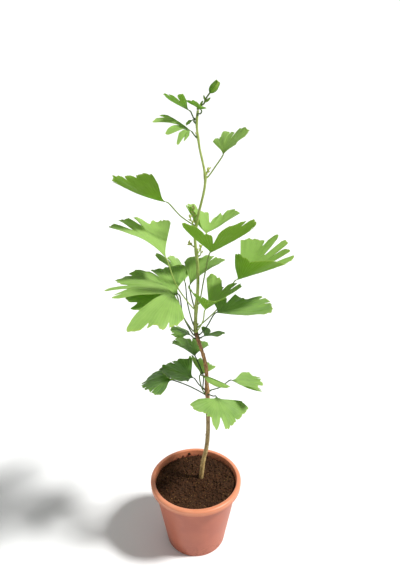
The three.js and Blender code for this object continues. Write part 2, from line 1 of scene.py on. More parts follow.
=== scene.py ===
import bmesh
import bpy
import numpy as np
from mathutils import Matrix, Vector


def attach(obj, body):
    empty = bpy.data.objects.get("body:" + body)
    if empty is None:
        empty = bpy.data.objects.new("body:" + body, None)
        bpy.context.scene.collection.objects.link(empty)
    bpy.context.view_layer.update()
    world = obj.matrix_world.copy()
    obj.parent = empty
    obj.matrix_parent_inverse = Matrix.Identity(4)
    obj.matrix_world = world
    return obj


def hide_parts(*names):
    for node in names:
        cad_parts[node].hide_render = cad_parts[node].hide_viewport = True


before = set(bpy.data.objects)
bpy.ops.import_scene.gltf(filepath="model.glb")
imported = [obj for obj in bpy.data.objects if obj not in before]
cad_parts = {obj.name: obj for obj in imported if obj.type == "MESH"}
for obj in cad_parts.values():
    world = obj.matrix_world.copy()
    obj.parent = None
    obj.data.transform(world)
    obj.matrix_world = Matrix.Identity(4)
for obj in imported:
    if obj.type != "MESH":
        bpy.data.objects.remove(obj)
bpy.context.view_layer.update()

# Potted ginkgo sapling, finished for looks: a moulded nursery pot, loose peat, a woody stem,
# this year's green shoot, fan leaves on long stalks, short twigs and a leaf still rolled up.
# Lengths below are millimetres and angles degrees; a mesh is written in metres. +Z is up,
# -Y is the front, and the origin is the middle of the pot's flat underside.

MM = 0.001

# ---------------------------------------------------------------- sizes of the solid model

POT_HEIGHT = 110
POT_BASE_DIAMETER = 92
POT_MOUTH_DIAMETER = 127
POT_WALL = 2.2
POT_FLOOR = 2.5
FOOT_CHAMFER = 1.2
RIM_WIDTH = 6.5
RIM_HEIGHT = 9.5
RIM_CROWN = 2.5
RIM_SKIRT_WALL = 2
RIM_TOP_THICKNESS = 4
DRAIN_HOLES = 5
DRAIN_HOLE_DIAMETER = 8
DRAIN_CIRCLE_DIAMETER = 58
SOIL_BELOW_RIM = 10
ROOT_DEPTH = 45
ROOT_TIP_DIAMETER = 3
WOOD_HEIGHT = 258
STEM_SOIL_DIAMETER = 7
STEM_SCAR_DIAMETER = 5
STEM_TIP_DIAMETER = 2.4
JOINT_SWELLING = 1
SWELLING_REACH = 6
STALK_DIAMETER = 1.6
STALK_CLIMB = 35
STALK_FOOT = 2
STALK_INTO_BLADE = 4
TWIG_DIAMETER = 1.4
TWIG_BUD_DIAMETER = 2.8
TWIG_BUD_LENGTH = 5
ROLLED_LEAF_DIAMETER = 12.5
ROLLED_LEAF_LENGTH = 17
CLEARANCE = 0.3

SOIL_TOP = POT_HEIGHT - SOIL_BELOW_RIM
BASE_RADIUS = POT_BASE_DIAMETER / 2
MOUTH_RADIUS = POT_MOUTH_DIAMETER / 2
RIM_RADIUS = MOUTH_RADIUS + RIM_WIDTH
RIM_FOOT = POT_HEIGHT - RIM_HEIGHT

# ---------------------------------------------------------------- sizes of the looks alone

# Pot.
LIP_ROUNDING = 0.9
GROOVE_ROUNDING = 0.8
SKIRT_ROUNDING = 0.6
SKIRT_EDGE_ROUNDING = 0.4
RIM_BEAD = 0.5  # how far the top of the rim stands out over its skirt
RIM_BEAD_DROP = 1.8  # from the foot of the crown down to the bead
WALL_COLUMNS_PER_HOLE = 38
# Stem, stalks and twigs.
LOW_CLUSTER_TOP = 200  # height above the soil below which the leaves are the low cluster
BARK_RIDGE = 0.22
SMALL_BARK_RIDGE = 0.12
LEAF_SCAR_BUMP = 0.75
LEAF_SCAR_DIP = 0.3
BUD_SCAR_SPACING = 1.7
WOOD_SIDES = 40
WOOD_RING_STEP = 0.9
SHOOT_SIDES = 28
SHOOT_RING_STEP = 1.1
SHOOT_BUD_LENGTH = 3.6
SHOOT_BUD_WIDTH = 2.1
SHOOT_BUD_ABOVE_STALK = 2.6
STALK_SIDES = 14
STALK_GROOVE = 0.22  # depth, as a share of the stalk's radius
TWIG_SCALE_PLACES = (0.3, 0.52, 0.72)  # shares of the twig's length
TWIG_SCALE_LENGTH = 5.5
TWIG_SCALE_WIDTH = 1.9
SCALE_RINGS = 12
SCALE_SIDES = 10
# Blades, with the heights of their relief.
BLADE_COLUMNS = 210
BLADE_ROWS = 27
BLADE_START = 0.9  # distance from the fan's point at which the blade begins
BLADE_HALF_THICKNESS_BASE = 0.24
BLADE_HALF_THICKNESS_MARGIN = 0.13
FULL_RELIEF_RADIUS = 45  # smaller blades have shallower pleats
LIGHT_THROUGH_BLADE = 0.42  # share of the light
VEIN_START = 6.0  # this far from the fan's point, the veins are VEIN_ANGLE degrees apart
VEIN_ANGLE = 22
PLEAT_HEIGHT = 1.5
SMALL_PLEAT_HEIGHT = 0.55
CRINKLE_HEIGHT = 0.22
FRILL_HEIGHT = 1.1
MARGIN_TOOTH = 1.15
SMALL_MARGIN_TOOTH = 0.45
MARGIN_ROUNDING = 1.1  # degrees
# The leaf still rolled up.
ROLLED_BODY_SHARE = 0.88  # the wrapped body's diameter, as a share of the solid's
WRAP_STEP = 0.24  # share of the radius between the free edge and the wrap under it
FURROW_DEPTH = 0.42  # share of the radius
ROLLED_LOBES = 5
LOBE_TIP_RISE = 2.6
ROLLED_SIDES = 128
ROLLED_OUTER_RINGS = 60
ROLLED_INNER_RINGS = 12
# Peat, with the heights of its lumps from broad to fine and of its bank at the wall.
PEAT_LUMPS = (1.1, 0.9, 0.75, 0.4)
PEAT_BANK = 3.6
PEAT_COLUMNS = 230
PEAT_ROWS = 120
CRUMBS = 3600
CRUMBS_ON_WALL = 46
CRUMB_ROWS = 6
CRUMB_SIDES = 8
FIBRES = 220
FIBRE_STEPS = 7
FIBRE_SIDES = 4

# Light and camera.
SUN_STRENGTH = 3.75
SUN_WIDTH = 9  # degrees
SUN_WAY = (-0.74, 0.14, -1.0)
ROOM_LIGHT = 0.33
LENS = 31.58
SENSOR_WIDTH = 36
VIEW_SHIFT = -0.025
CAMERA_PLACE = (0.0065, -0.6321, 0.6661)  # metres
CAMERA_LOOKS_DOWN = 18.9

# Leaflets on the rolled leaf's stalk: the place as a share of its length, the side and the
# leaflet's length.
ROLLED_LEAFLETS = ((0.14, -1, 8), (0.3, 1, 10), (0.36, -1, 7))

# Scars of old leaves on the wood: the height above the soil and the side.
OLD_SCARS = [(24, 200), (52, -60), (83, 150), (117, -20), (139, 190), (186, -70), (205, 160),
             (224, -10), (240, 200)]

# ---------------------------------------------------------------- routes and leaves

# The stem's centre line: x, y, height above the soil.
STEM_ROUTE = np.array([
    [8, 10, 0], [12, 9, 36], [16.5, 8, 60], [18.5, 7, 90], [18.5, 6, 118], [18, 5, 145],
    [16.5, 4, 171], [15, 3, 204], [8.5, 2.5, 231], [1, 2, 258], [0.5, 2, 282], [3.5, 2, 322],
    [3.5, 2, 355], [0, 1, 398], [4, 0, 424], [13, 0, 470], [5.5, 0, 512], [2.5, 0, 538],
    [4, 0, 554],
], dtype=float)

# One row per leaf. As on the solid model:
# joint: where the stalk leaves the stem, as a height above the soil.
# side: the compass direction in which it leaves, from +X towards +Y.
# base: the blade's start, measured from that point of the stem.
# bow: how far the middle of the stalk lies off the straight line.
# heading, rise, roll: the direction of the blade's middle ray, and the turn about it.
# radius: the fan's radius.
# cup: half angle of the cone on which the fan lies; 90 is a flat fan.
# bend: how far the margin turns back, as a share of the radius.
# outline: angle from the middle ray and reach, as a share of the radius.
# In the looks alone:
# tone: how light and yellow the leaf is painted, from 0 to 1; partly its own colour and partly
# painted light and shade, low for leaves in shade and high for lit ones.
# cuts: where the margin is cut in between two lobes, as the angle, the depth as a share of
#   the reach, and half the width at the margin in degrees.
# curls: where the margin curls, as the angle, the half width in degrees, and how far it
#   rises at the margin.
LEAF_HEADINGS = ("name", "joint", "side", "base", "bow", "heading", "rise", "roll", "radius",
                 "cup", "bend", "tone", "outline", "cuts", "curls")
LEAF_ROWS = [
    ["leaf_low_front", 158, -65, [12, -20, 8], [1, 0, -1], -70, -21, 22, 49, 68, 0.18, 0.42,
     [[-74, 0.7], [-68, 1], [-56, 0.98], [-43, 0.82], [-29, 0.82], [-15, 1.08], [-6, 0.66], [1, 1.02],
      [23, 0.89], [46, 0.91], [66, 1.04], [74, 0.8]],
     [[-40, 0.12, 1.5], [31, 0.1, 1.4]], [[-68, 16, -5]]],
    ["leaf_low_right", 162, 5, [34, 2, 17], [0, 0, -3], -11, -10, 11, 51, 86, 0, 0.5,
     [[-36, 0.62], [-30, 1], [-22, 1], [4, 0.77], [17, 0.99], [28, 0.97], [40, 1.07], [48, 0.95],
      [62, 0.97], [72, 0.8]],
     [[-12, 0.14, 1.5], [38, 0.16, 1.6]], [[-30, 12, 5]]],
    ["leaf_low_left", 157, 190, [-49, -12, 30], [0, 0, 2], 186, 13, -8, 46, 64, 0.43, 0.08,
     [[-62, 0.8], [-54, 0.95], [-34, 0.95], [-24, 0.99], [-9, 0.92], [19, 0.84], [32, 0.86],
      [52, 1.05], [60, 1.05], [66, 0.7]],
     [[-14, 0.24, 1.8], [8, 0.12, 1.5], [38, 0.22, 2.0]], [[-30, 14, -4], [50, 12, 4]]],
    ["leaf_low_rear", 163, 150, [-19, 7, 16], [0, 0, -2], 173, 20, -11, 51, 72, 0.09, 0.1,
     [[-78, 0.85], [-74, 1.01], [-69, 0.83], [-56, 1.02], [-24, 0.97], [4, 1.02], [22, 0.95],
      [47, 0.99], [62, 0.92], [78, 0.85]],
     [[-36, 0.2, 1.8], [12, 0.16, 1.6], [44, 0.14, 1.6]], [[-70, 14, 7]]],
    ["leaf_low_fork", 161, -150, [-11, -1.5, 27.6], [-2, -3, 0], 27, 15, -27, 42, 84, 0.05, 0.62,
     [[-86, 0.33], [-73, 0.55], [-61, 1.02], [-55, 1.14], [-51, 0.98], [-49, 0.07], [-2, 0.07],
      [1, 0.66], [15, 0.6], [37, 0.58], [57, 0.68], [70, 0.6], [87, 0.76], [93, 0.58]],
     [], [[87, 12, 9], [-56, 6, 4]]],
    ["leaf_mid_rear", 165, 175, [-17, 10, 48], [4.8, -6.7, -0.4], 118, 26, -20, 43, 59, 0.13, 0.3,
     [[-62, 0.82], [-54, 0.96], [-3, 0.96], [10, 1.04], [29, 0.88], [59, 0.96], [71, 0.98], [95, 0.92]],
     [[-20, 0.2, 1.8], [40, 0.14, 1.6], [72, 0.16, 1.6]], []],
    ["leaf_whorl_left", 249, 200, [-8, -4, 5], [0, 0, -1], 177, 34, -14, 34, 80, 0.22, 0.2,
     [[-80, 0.8], [-64, 0.93], [-45, 0.95], [10, 0.95], [32, 1], [43, 0.92], [55, 0.67]],
     [[-20, 0.3, 2.4], [30, 0.14, 1.6]], [[-5, 14, 4], [45, 14, -4]]],
    ["leaf_whorl_right", 250, -30, [7, -6, 4], [0, 0, -1], 2, 17, 15, 33, 74, 0.15, 0.25,
     [[-46, 0.8], [-30, 0.85], [20, 0.98], [35, 0.93], [38, 0.35], [72, 0.95], [92, 0.9]],
     [[10, 0.24, 2.0], [55, 0.2, 1.8]], [[85, 14, 5]]],
    ["leaf_big_left", 261, -140, [-25, -25, 63], [-4, 0, -2], 221, 29, 16, 78, 72, 0.45, 0.62,
     [[-70, 0.55], [-66, 0.8], [-55, 0.86], [-43, 0.9], [-37, 0.98], [-30, 0.87], [-25, 1.05],
      [-21, 1.05], [-18, 0.76], [-12, 0.98], [-5, 1.05], [-2, 0.92], [3, 0.38], [10, 0.29], [17, 0.6],
      [21, 0.98], [25, 1.2], [31, 1.12], [36, 1.03], [40, 0.93], [44, 0.98], [57, 0.81], [68, 0.65]],
     [[-28, 0.2, 1.2], [-18.5, 0.42, 1.5], [-9, 0.14, 1.2], [-50, 0.12, 1.3], [34, 0.12, 1.2],
      [50, 0.1, 1.2]],
     [[-60, 10, 7], [-24, 5, -5], [-5, 5, 4], [60, 10, -5]]],
    ["leaf_dark_left", 255, 215, [-23, -14, 65], [-5, 2, -2], 170, 22, 17, 67, 86, 0.18, 0.42,
     [[-89, 0.82], [-72, 0.95], [-55, 0.94], [-50, 0.88], [-40, 0.93], [-28, 0.9], [0, 0.95],
      [30, 1.06], [37, 1.01], [41, 0.82], [46, 1.06], [54, 0.9], [58, 0.75]],
     [[-30, 0.34, 2.0], [5, 0.16, 1.5]], [[-80, 14, 8]]],
    ["leaf_front_cup", 262, -60, [12.5, -25, 40.5], [3, 0, 0], -37, 41, 2, 52, 38, 0.06, 0.95,
     [[-86, 0.82], [-62, 0.93], [-51, 0.9], [-36, 1], [-28, 0.96], [-20, 0.88], [-9, 0.78], [14, 0.8],
      [20, 1.15], [28, 1.15], [38, 1.04], [52, 0.74], [58, 0.87], [71, 0.97], [78, 0.97], [84, 0.85]],
     [[-44, 0.16, 1.8], [-5, 0.12, 1.5], [33, 0.3, 2.0], [48, 0.2, 1.8]], [[-30, 14, -6]]],
    ["leaf_dark_cup", 255, -25, [25.5, -35, 48], [0, 0, -3], 18, -2, 2, 65, 72, -0.06, 0.34,
     [[-58, 0.75], [-48, 1.02], [-40, 1.08], [-11, 1.15], [10, 1.25], [20, 1.25], [26, 0.88],
      [38, 0.92], [45, 0.92], [47, 0.45], [52, 0.68], [75, 0.64], [92, 0.55]],
     [[-28, 0.12, 1.4], [0, 0.16, 1.4], [15, 0.14, 1.4]], []],
    ["leaf_big_right", 266, 15, [55, 12, 65], [5, 8, -7], -15, 25, -5, 80, 39, -0.03, 0.9,
     [[-84, 0.64], [-70, 0.77], [-56, 0.83], [-43, 1], [-38, 1.1], [-20, 1], [0, 0.98], [10, 1.08],
      [19, 1.02], [24, 0.94], [28, 1.13], [32, 1.12], [35, 0.9], [38, 1.1], [42, 1.02], [45, 0.88],
      [60, 0.82], [79, 0.7]],
     [[-55, 0.1, 1.3], [-8, 0.16, 1.6], [12.5, 0.46, 1.8], [24.5, 0.36, 1.7], [35, 0.34, 1.7],
      [46, 0.16, 1.3]],
     [[5, 6, -5], [18, 5, 4], [30, 4, -4], [40, 4, 5], [-80, 12, 6]]],
    ["leaf_far_left", 268, 130, [-15.5, 60, 41], [-3, 3, 0], 136, 60, -29, 62, 86, 0.25, 0.5,
     [[-76, 0.95], [-63, 0.92], [-52, 0.94], [-37, 0.84], [0, 0.75], [19, 0.7], [24, 0.95], [33, 1.03],
      [38, 0.85]],
     [[-24, 0.22, 1.8], [14, 0.3, 2.2]], []],
    ["leaf_behind_shoot", 293, 120, [-9, 9, 31], [-1, 1, 0], 59, 48, 11, 58, 56, 0.28, 0.55,
     [[-36, 0.85], [-31, 1], [-8, 0.95], [5, 0.96], [8, 0.84], [20, 0.93], [31, 0.97], [36, 0.8]],
     [[-10, 0.2, 1.6], [14, 0.14, 1.4]], []],
    ["leaf_upper_left", 295, 215, [-38, -19.5, 77], [-5, -6, 0], 142, 51, -8, 75, 42, 0.31, 0.9,
     [[-39, 0.8], [-37, 0.94], [-30, 0.93], [-26, 0.84], [-23, 0.94], [-17, 0.78], [-13, 0.95],
      [-8, 0.98], [6, 1.01], [25, 1.03], [32, 0.92], [39, 0.75]],
     [[-31, 0.06, 1.2], [-1.5, 0.28, 2.2], [15, 0.36, 3.2]], [[25, 9, -7], [-5, 6, 3]]],
    ["leaf_front_open", 302, -50, [17, -17.5, 77], [0, 0, 0], -50, 37, 10, 70, 64, -0.07, 0.7,
     [[-64, 0.9], [-61, 1.05], [-55, 1.06], [-48, 0.97], [-36, 0.71], [-29, 0.66], [-25, 0.33],
      [-20, 0.75], [-16, 0.95], [-9, 0.96], [-5, 1.17], [9, 1.2], [15, 1.14], [44, 0.82], [70, 0.78],
      [90, 0.7]],
     [[-40, 0.1, 1.4], [2, 0.22, 1.6], [30, 0.16, 1.5], [62, 0.14, 1.5]], []],
    ["leaf_pale_rear", 374, 45, [13.5, 15, 22.5], [1, 1, 0], 115, 23, -21, 50, 56, -0.18, 0.8,
     [[-96, 1.1], [-68, 1.16], [-61, 1.06], [-57, 0.88], [-51, 0.96], [-42, 0.73], [-38, 0.48],
      [-32, 0.63], [-28, 0.92], [-13, 0.92], [7, 1.07], [39, 0.94], [72, 0.8], [90, 0.55]],
     [[-4, 0.18, 1.6], [24, 0.3, 2.0], [56, 0.16, 1.6]], [[-92, 12, -4], [5, 10, 4]]],
    ["leaf_top_left", 412, 185, [-37, 0, 30], [0, 0, -3], 193, 12, -16, 69, 60, -0.21, 0.68,
     [[-62, 0.5], [-57, 0.7], [-35, 0.93], [-9, 1.01], [7, 1.06], [25, 1.02], [36, 0.97], [53, 0.88],
      [62, 0.79], [66, 0.5]],
     [[-46, 0.06, 1.2], [-1, 0.24, 1.4], [27, 0.09, 1.4], [42, 0.07, 1.4]], [[8, 6, 3]]],
    ["leaf_top_right", 474, 10, [22, 5, 26], [0, 0, -1], 47, 62, 13, 42, 69, 0.2, 0.75,
     [[-58, 0.55], [-46, 0.9], [-38, 1.02], [-24, 1.02], [-6, 0.94], [-2, 0.76], [12, 0.86],
      [26, 1.01], [34, 1.06], [37, 0.84], [49, 0.93], [56, 0.85]],
     [[-38, 0.08, 1.6], [0, 0.26, 2.2], [20, 0.14, 1.7], [42, 0.12, 1.6]], [[20, 12, -3]]],
    ["leaf_top_front", 523, 220, [-7, -5, 6], [0, 0, -0.5], 234, 28, 27, 46, 40, 0.5, 0.55,
     [[-33, 0.7], [-30, 0.8], [-14, 1.04], [-10, 0.5], [8, 0.98], [12, 0.94], [14, 0.56], [23, 1.03],
      [28, 0.9], [32, 0.7]],
     [[-20, 0.22, 1.6], [-10, 0.62, 3.4], [15, 0.5, 1.8], [26, 0.28, 1.4]],
     [[-22, 8, 5], [25, 8, -4]]],
    ["leaf_young_left", 544, 180, [-8, -1, 9], [0, 0, -1], 191, 27, -6, 37, 72, -0.07, 0.55,
     [[-50, 0.6], [-44, 0.95], [10, 1.02], [29, 0.93], [36, 0.73], [44, 0.87], [57, 1.03], [62, 0.6]],
     [[-20, 0.3, 4.0], [20, 0.18, 2.2], [38, 0.35, 2.6]], []],
    ["leaf_young_low", 540, 215, [-4, -2.5, 3], [0, 0, 0], 200, -25, 0, 11, 60, 0.2, 0.55,
     [[-60, 0.7], [-40, 0.95], [-15, 1], [15, 0.9], [40, 1], [60, 0.7]],
     [[-15, 0.25, 5.0], [20, 0.2, 4.0]], []],
    ["leaf_young_top", 549, -80, [5, -8, 4.5], [1, -1, -1], 201, 41, -3, 23, 86, 0.09, 0.55,
     [[-36, 0.6], [-28, 0.95], [15, 0.82], [45, 1.04], [59, 0.92], [81, 0.9]],
     [[0, 0.3, 4.0], [40, 0.25, 3.5]], []],
]
LEAVES = [dict(zip(LEAF_HEADINGS, row)) for row in LEAF_ROWS]

# Short side twigs: where they leave the stem, and their tip measured from that point.
TWIGS = [
    {"name": "twig_left_lower", "joint": 383, "side": 180, "tip": [-10, 3, 6], "bow": [0, 0, -1]},
    {"name": "twig_right_lower", "joint": 370, "side": -10, "tip": [4, -3, 17], "bow": [2, 0, 0]},
    {"name": "twig_left_upper", "joint": 417, "side": 160, "tip": [-5, 4, 21], "bow": [-1, 0, 0]},
    {"name": "twig_left_upper_fork", "joint": 410, "side": 130, "tip": [-9, 6, 15],
     "bow": [-1, 1, 0]},
    {"name": "twig_right_upper", "joint": 478, "side": 60, "tip": [5, 4, 8], "bow": [1, 0, 0]},
]

# The rolled young leaf's stalk and body, measured from the tip of the shoot.
ROLLED_LEAF_ROUTE = np.array([
    [0.2, 0, 3], [7, 0, 7], [9, 0, 12], [14, 0, 19], [20, 0, 27], [24.5, 0, 33],
])


# ---------------------------------------------------------------- curves and surfaces


def lerp(a, b, t):
    """The value at share t of the way from a to b."""
    return a + (b - a) * t


def unit(v):
    """Vectors along the last axis, each divided by its length."""
    return v / np.linalg.norm(v, axis=-1, keepdims=True)


def noise(points, cell, seed):
    """Smooth noise from -1 to 1: random values on a lattice of that cell, blended between
    the eight corners round each point by the smoothstep of its place in the cell."""
    table = np.random.default_rng(seed).uniform(-1, 1, 4096)
    place = np.asarray(points, dtype=float) / cell
    corner = np.floor(place).astype(np.int64)
    share = place - corner
    share = share * share * (3 - 2 * share)
    total = np.zeros(place.shape[:-1])
    for offset in np.ndindex(2, 2, 2):
        cells = corner + np.array(offset)
        picked = table[(cells @ np.array([73856093, 19349663, 83492791])) % 4096]
        total += picked * np.prod(np.where(offset, share, 1 - share), axis=-1)
    return total


def spline(points, count):
    """count points, evenly spaced along the centripetal Catmull-Rom curve through points:
    on each span a cubic whose end slopes weigh the steps by the root of their length."""
    points = np.asarray(points, dtype=float)
    ends = [2 * points[:1] - points[1:2], points, 2 * points[-1:] - points[-2:-1]]
    p = np.vstack(ends)
    d = np.linalg.norm(np.diff(p, axis=0), axis=1)[:, None] ** 0.5
    x0, x1, x2, x3 = p[:-3], p[1:-2], p[2:-1], p[3:]
    d0, d1, d2 = d[:-2], d[1:-1], d[2:]
    t1 = ((x1 - x0) / d0 - (x2 - x0) / (d0 + d1) + (x2 - x1) / d1) * d1
    t2 = ((x2 - x1) / d1 - (x3 - x1) / (d1 + d2) + (x3 - x2) / d2) * d1
    u = np.linspace(0, 1, 48, endpoint=False)[None, :, None]
    square = (3 * (x2 - x1) - 2 * t1 - t2)[:, None]
    cube = (2 * (x1 - x2) + t1 + t2)[:, None]
    fine = x1[:, None] + t1[:, None] * u + square * u ** 2 + cube * u ** 3
    fine = np.vstack([fine.reshape(-1, 3), points[-1:]])
    steps = np.linalg.norm(np.diff(fine, axis=0), axis=1)
    length = np.concatenate([[0], np.cumsum(steps)])
    even = np.linspace(0, length[-1], count)
    return np.stack([np.interp(even, length, fine[:, k]) for k in range(3)], axis=1)


def path_length(path):
    """Length of a path of points."""
    return np.linalg.norm(np.diff(path, axis=0), axis=1).sum()


def rings(path, radius, sides, level=False):
    """A grid of rings carried along a path: the ring's point at angle u is the path's point
    plus radius times (cos u across + sin u other). across is square to the path and to the
    plane it bends in; level rings lie flat. radius is one value, one per ring, or a grid."""
    along = unit(np.gradient(path, axis=0))
    flat = np.linalg.svd(path - path.mean(axis=0))[2][2]
    if level:
        along = np.broadcast_to([0.0, 0.0, 1.0], path.shape)
        flat = np.array([1.0, 0.0, 0.0])
    across = unit(flat - (along @ flat)[:, None] * along)
    other = np.cross(along, across)
    u = np.linspace(0, 2 * np.pi, sides, endpoint=False)
    way = np.cos(u)[None, :, None] * across[:, None] + np.sin(u)[None, :, None] * other[:, None]
    size = np.asarray(radius, dtype=float)
    size = size.reshape(-1, 1) if size.ndim < 2 else size
    return path[:, None] + way * np.broadcast_to(size, way.shape[:2])[..., None]


def grid_faces(rows, columns, around=False):
    """Quads between the neighbours in a grid of points; around joins last column to first."""
    i, j = np.meshgrid(np.arange(rows - 1), np.arange(columns - (not around)), indexing="ij")
    k = (j + 1) % columns
    corners = [i * columns + j, i * columns + k, (i + 1) * columns + k, (i + 1) * columns + j]
    return np.stack(corners, axis=-1).reshape(-1, 4)


def solid(vertices, faces, **marks):
    """A closed shape: its points, its arrays of faces, and marks, a value for each point."""
    count = len(vertices)
    spread = {key: np.broadcast_to(value, count).astype(float) for key, value in marks.items()}
    return {"vertices": vertices, "faces": faces, "marks": spread}


def closed_tube(grid, **marks):
    """A grid of rings, closed at each end by a fan of triangles to the end ring's middle."""
    count, sides = grid.shape[:2]
    vertices = np.vstack([grid.reshape(-1, 3), grid[:1].mean(axis=1), grid[-1:].mean(axis=1)])
    j = np.arange(sides)
    k = (j + 1) % sides
    last = (count - 1) * sides
    start = np.stack([k, j, np.full(sides, count * sides)], axis=1)
    end = np.stack([last + j, last + k, np.full(sides, count * sides + 1)], axis=1)
    return solid(vertices, [grid_faces(count, sides, around=True), start, end], **marks)


def joined(solids):
    """Several closed shapes as one; a mark that one of them lacks is 0 there."""
    keys = sorted({key for one in solids for key in one["marks"]})
    first = np.cumsum([0] + [len(one["vertices"]) for one in solids])
    faces = [f + start for one, start in zip(solids, first) for f in one["faces"]]
    marks = {}
    for key in keys:
        lists = [one["marks"].get(key, np.zeros(len(one["vertices"]))) for one in solids]
        marks[key] = np.concatenate(lists)
    return {"vertices": np.vstack([s["vertices"] for s in solids]), "faces": faces, "marks": marks}


def make_piece(name, shape, material, slot, *nodes, sharp=None, weld=False):
    """Writes a closed shape as one smooth object at the origin, in metres, with its marks as
    attributes; it takes the place of the named solid nodes. sharp is the crease angle."""
    mesh = bpy.data.meshes.new(name)
    faces = [face for array in shape["faces"] for face in array.tolist()]
    mesh.from_pydata((shape["vertices"] * MM).tolist(), [], faces)
    for key, values in shape["marks"].items():
        mesh.attributes.new(key, "FLOAT", "POINT").data.foreach_set("value", values)
    if weld:
        work = bmesh.new()
        work.from_mesh(mesh)
        bmesh.ops.remove_doubles(work, verts=work.verts, dist=0.001 * MM)
        work.to_mesh(mesh)
        work.free()
    mesh.polygons.foreach_set("use_smooth", np.ones(len(mesh.polygons), dtype=bool))
    if sharp is not None:
        mesh.set_sharp_from_angle(angle=np.radians(sharp))
    mesh.materials.append(material)
    piece = bpy.data.objects.new(name, mesh)
    bpy.context.scene.collection.objects.link(piece)
    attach(piece, "root")
    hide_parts(*nodes)
    return piece


# ---------------------------------------------------------------- materials

# Settings that many nodes share.
TIMES = {"operation": "MULTIPLY"}
PLUS = {"operation": "ADD"}
TIMES_PLUS = {"operation": "MULTIPLY_ADD"}
GREATER = {"operation": "MAXIMUM"}
SOFT_STEP = {"interpolation_type": "SMOOTHSTEP"}
COLOURS = {"data_type": "RGBA"}


def colour(code):
    """An sRGB hex code as linear red, green, blue and 1: below 0.04045 a twelfth, above it
    the 2.4th power of (value + 0.055) / 1.055."""
    value = np.array([int(code[i:i + 2], 16) for i in (1, 3, 5)]) / 255
    line = np.where(value <= 0.04045, value / 12.92, ((value + 0.055) / 1.055) ** 2.4)
    return (*line.tolist(), 1.0)


def add(tree, kind, settings, sockets, out=0):
    """Adds a node and gives one of its outputs. settings are its properties; sockets are its
    inputs, a list in order or a dict by name or number, each a value or another output."""
    made = tree.nodes.new("ShaderNode" + kind)
    for key, value in settings.items():
        setattr(made, key, value)
    for key, value in sockets.items() if isinstance(sockets, dict) else enumerate(sockets):
        if isinstance(value, bpy.types.NodeSocket):
            tree.links.new(value, made.inputs[key])
        else:
            made.inputs[key].default_value = value
    return None if out is None else made.outputs[out]


def new_material(name):
    """An empty material, its node tree and its Object coordinates."""
    material = bpy.data.materials.new(name)
    material.use_nodes = True
    tree = material.node_tree
    tree.nodes.clear()
    return material, tree, add(tree, "TexCoord", {}, {}, "Object")


def finish_material(material, tree, relief, depth, strength, skin):
    """Ends a material: a skin with the given sockets, embossed by a relief so many mm deep."""
    normal = add(tree, "Bump", {}, {
        "Height": relief, "Distance": depth * MM, "Strength": strength})
    surface = add(tree, "BsdfPrincipled", {}, {"Normal": normal, **skin})
    add(tree, "OutputMaterial", {}, {"Surface": surface}, None)
    return material


def grain(size, detail=2.0, roughness=0.5):
    """Noise settings for patches about that many millimetres wide."""
    return {"Scale": 1 / (size * MM), "Detail": detail, "Roughness": roughness}


def vein_ridges(tree, ray, radius):
    """Forking veins as a height from 0 to 1: the cube of a raised cosine of the ray's angle,
    with twice as many ridges each time the distance from the fan's point doubles, the new
    ones rising slowly. So the veins stay about 2.3 mm apart. Real ones are 1 mm apart; these
    are as coarse as it takes to show."""
    from_base = add(tree, "Math", GREATER, [radius, 1.0])
    doublings = add(tree, "Math", {"operation": "DIVIDE"}, [from_base, VEIN_START])
    octave = add(tree, "Math", {"operation": "LOGARITHM"}, [doublings, 2.0])
    whole = add(tree, "Math", {"operation": "FLOOR"}, [octave])
    part = add(tree, "Math", {"operation": "FRACT"}, [octave])
    forked = add(tree, "MapRange", SOFT_STEP, [part, 0.35, 1.0, 0.0, 1.0])
    doubled = add(tree, "Math", {"operation": "POWER"}, [2.0, whole])
    steps = add(tree, "Math", TIMES, [ray, 1 / VEIN_ANGLE])
    turns = add(tree, "Math", TIMES, [steps, doubled])
    ridges = []
    for times in (1, 2):
        angle = add(tree, "Math", TIMES, [turns, 2 * np.pi * times])
        wave = add(tree, "Math", {"operation": "COSINE"}, [angle])
        height = add(tree, "Math", TIMES_PLUS, [wave, 0.5, 0.5])
        ridges.append(add(tree, "Math", {"operation": "POWER"}, [height, 3.0]))
    branch = add(tree, "Math", TIMES, [ridges[1], forked])
    return add(tree, "Math", GREATER, [ridges[0], branch])


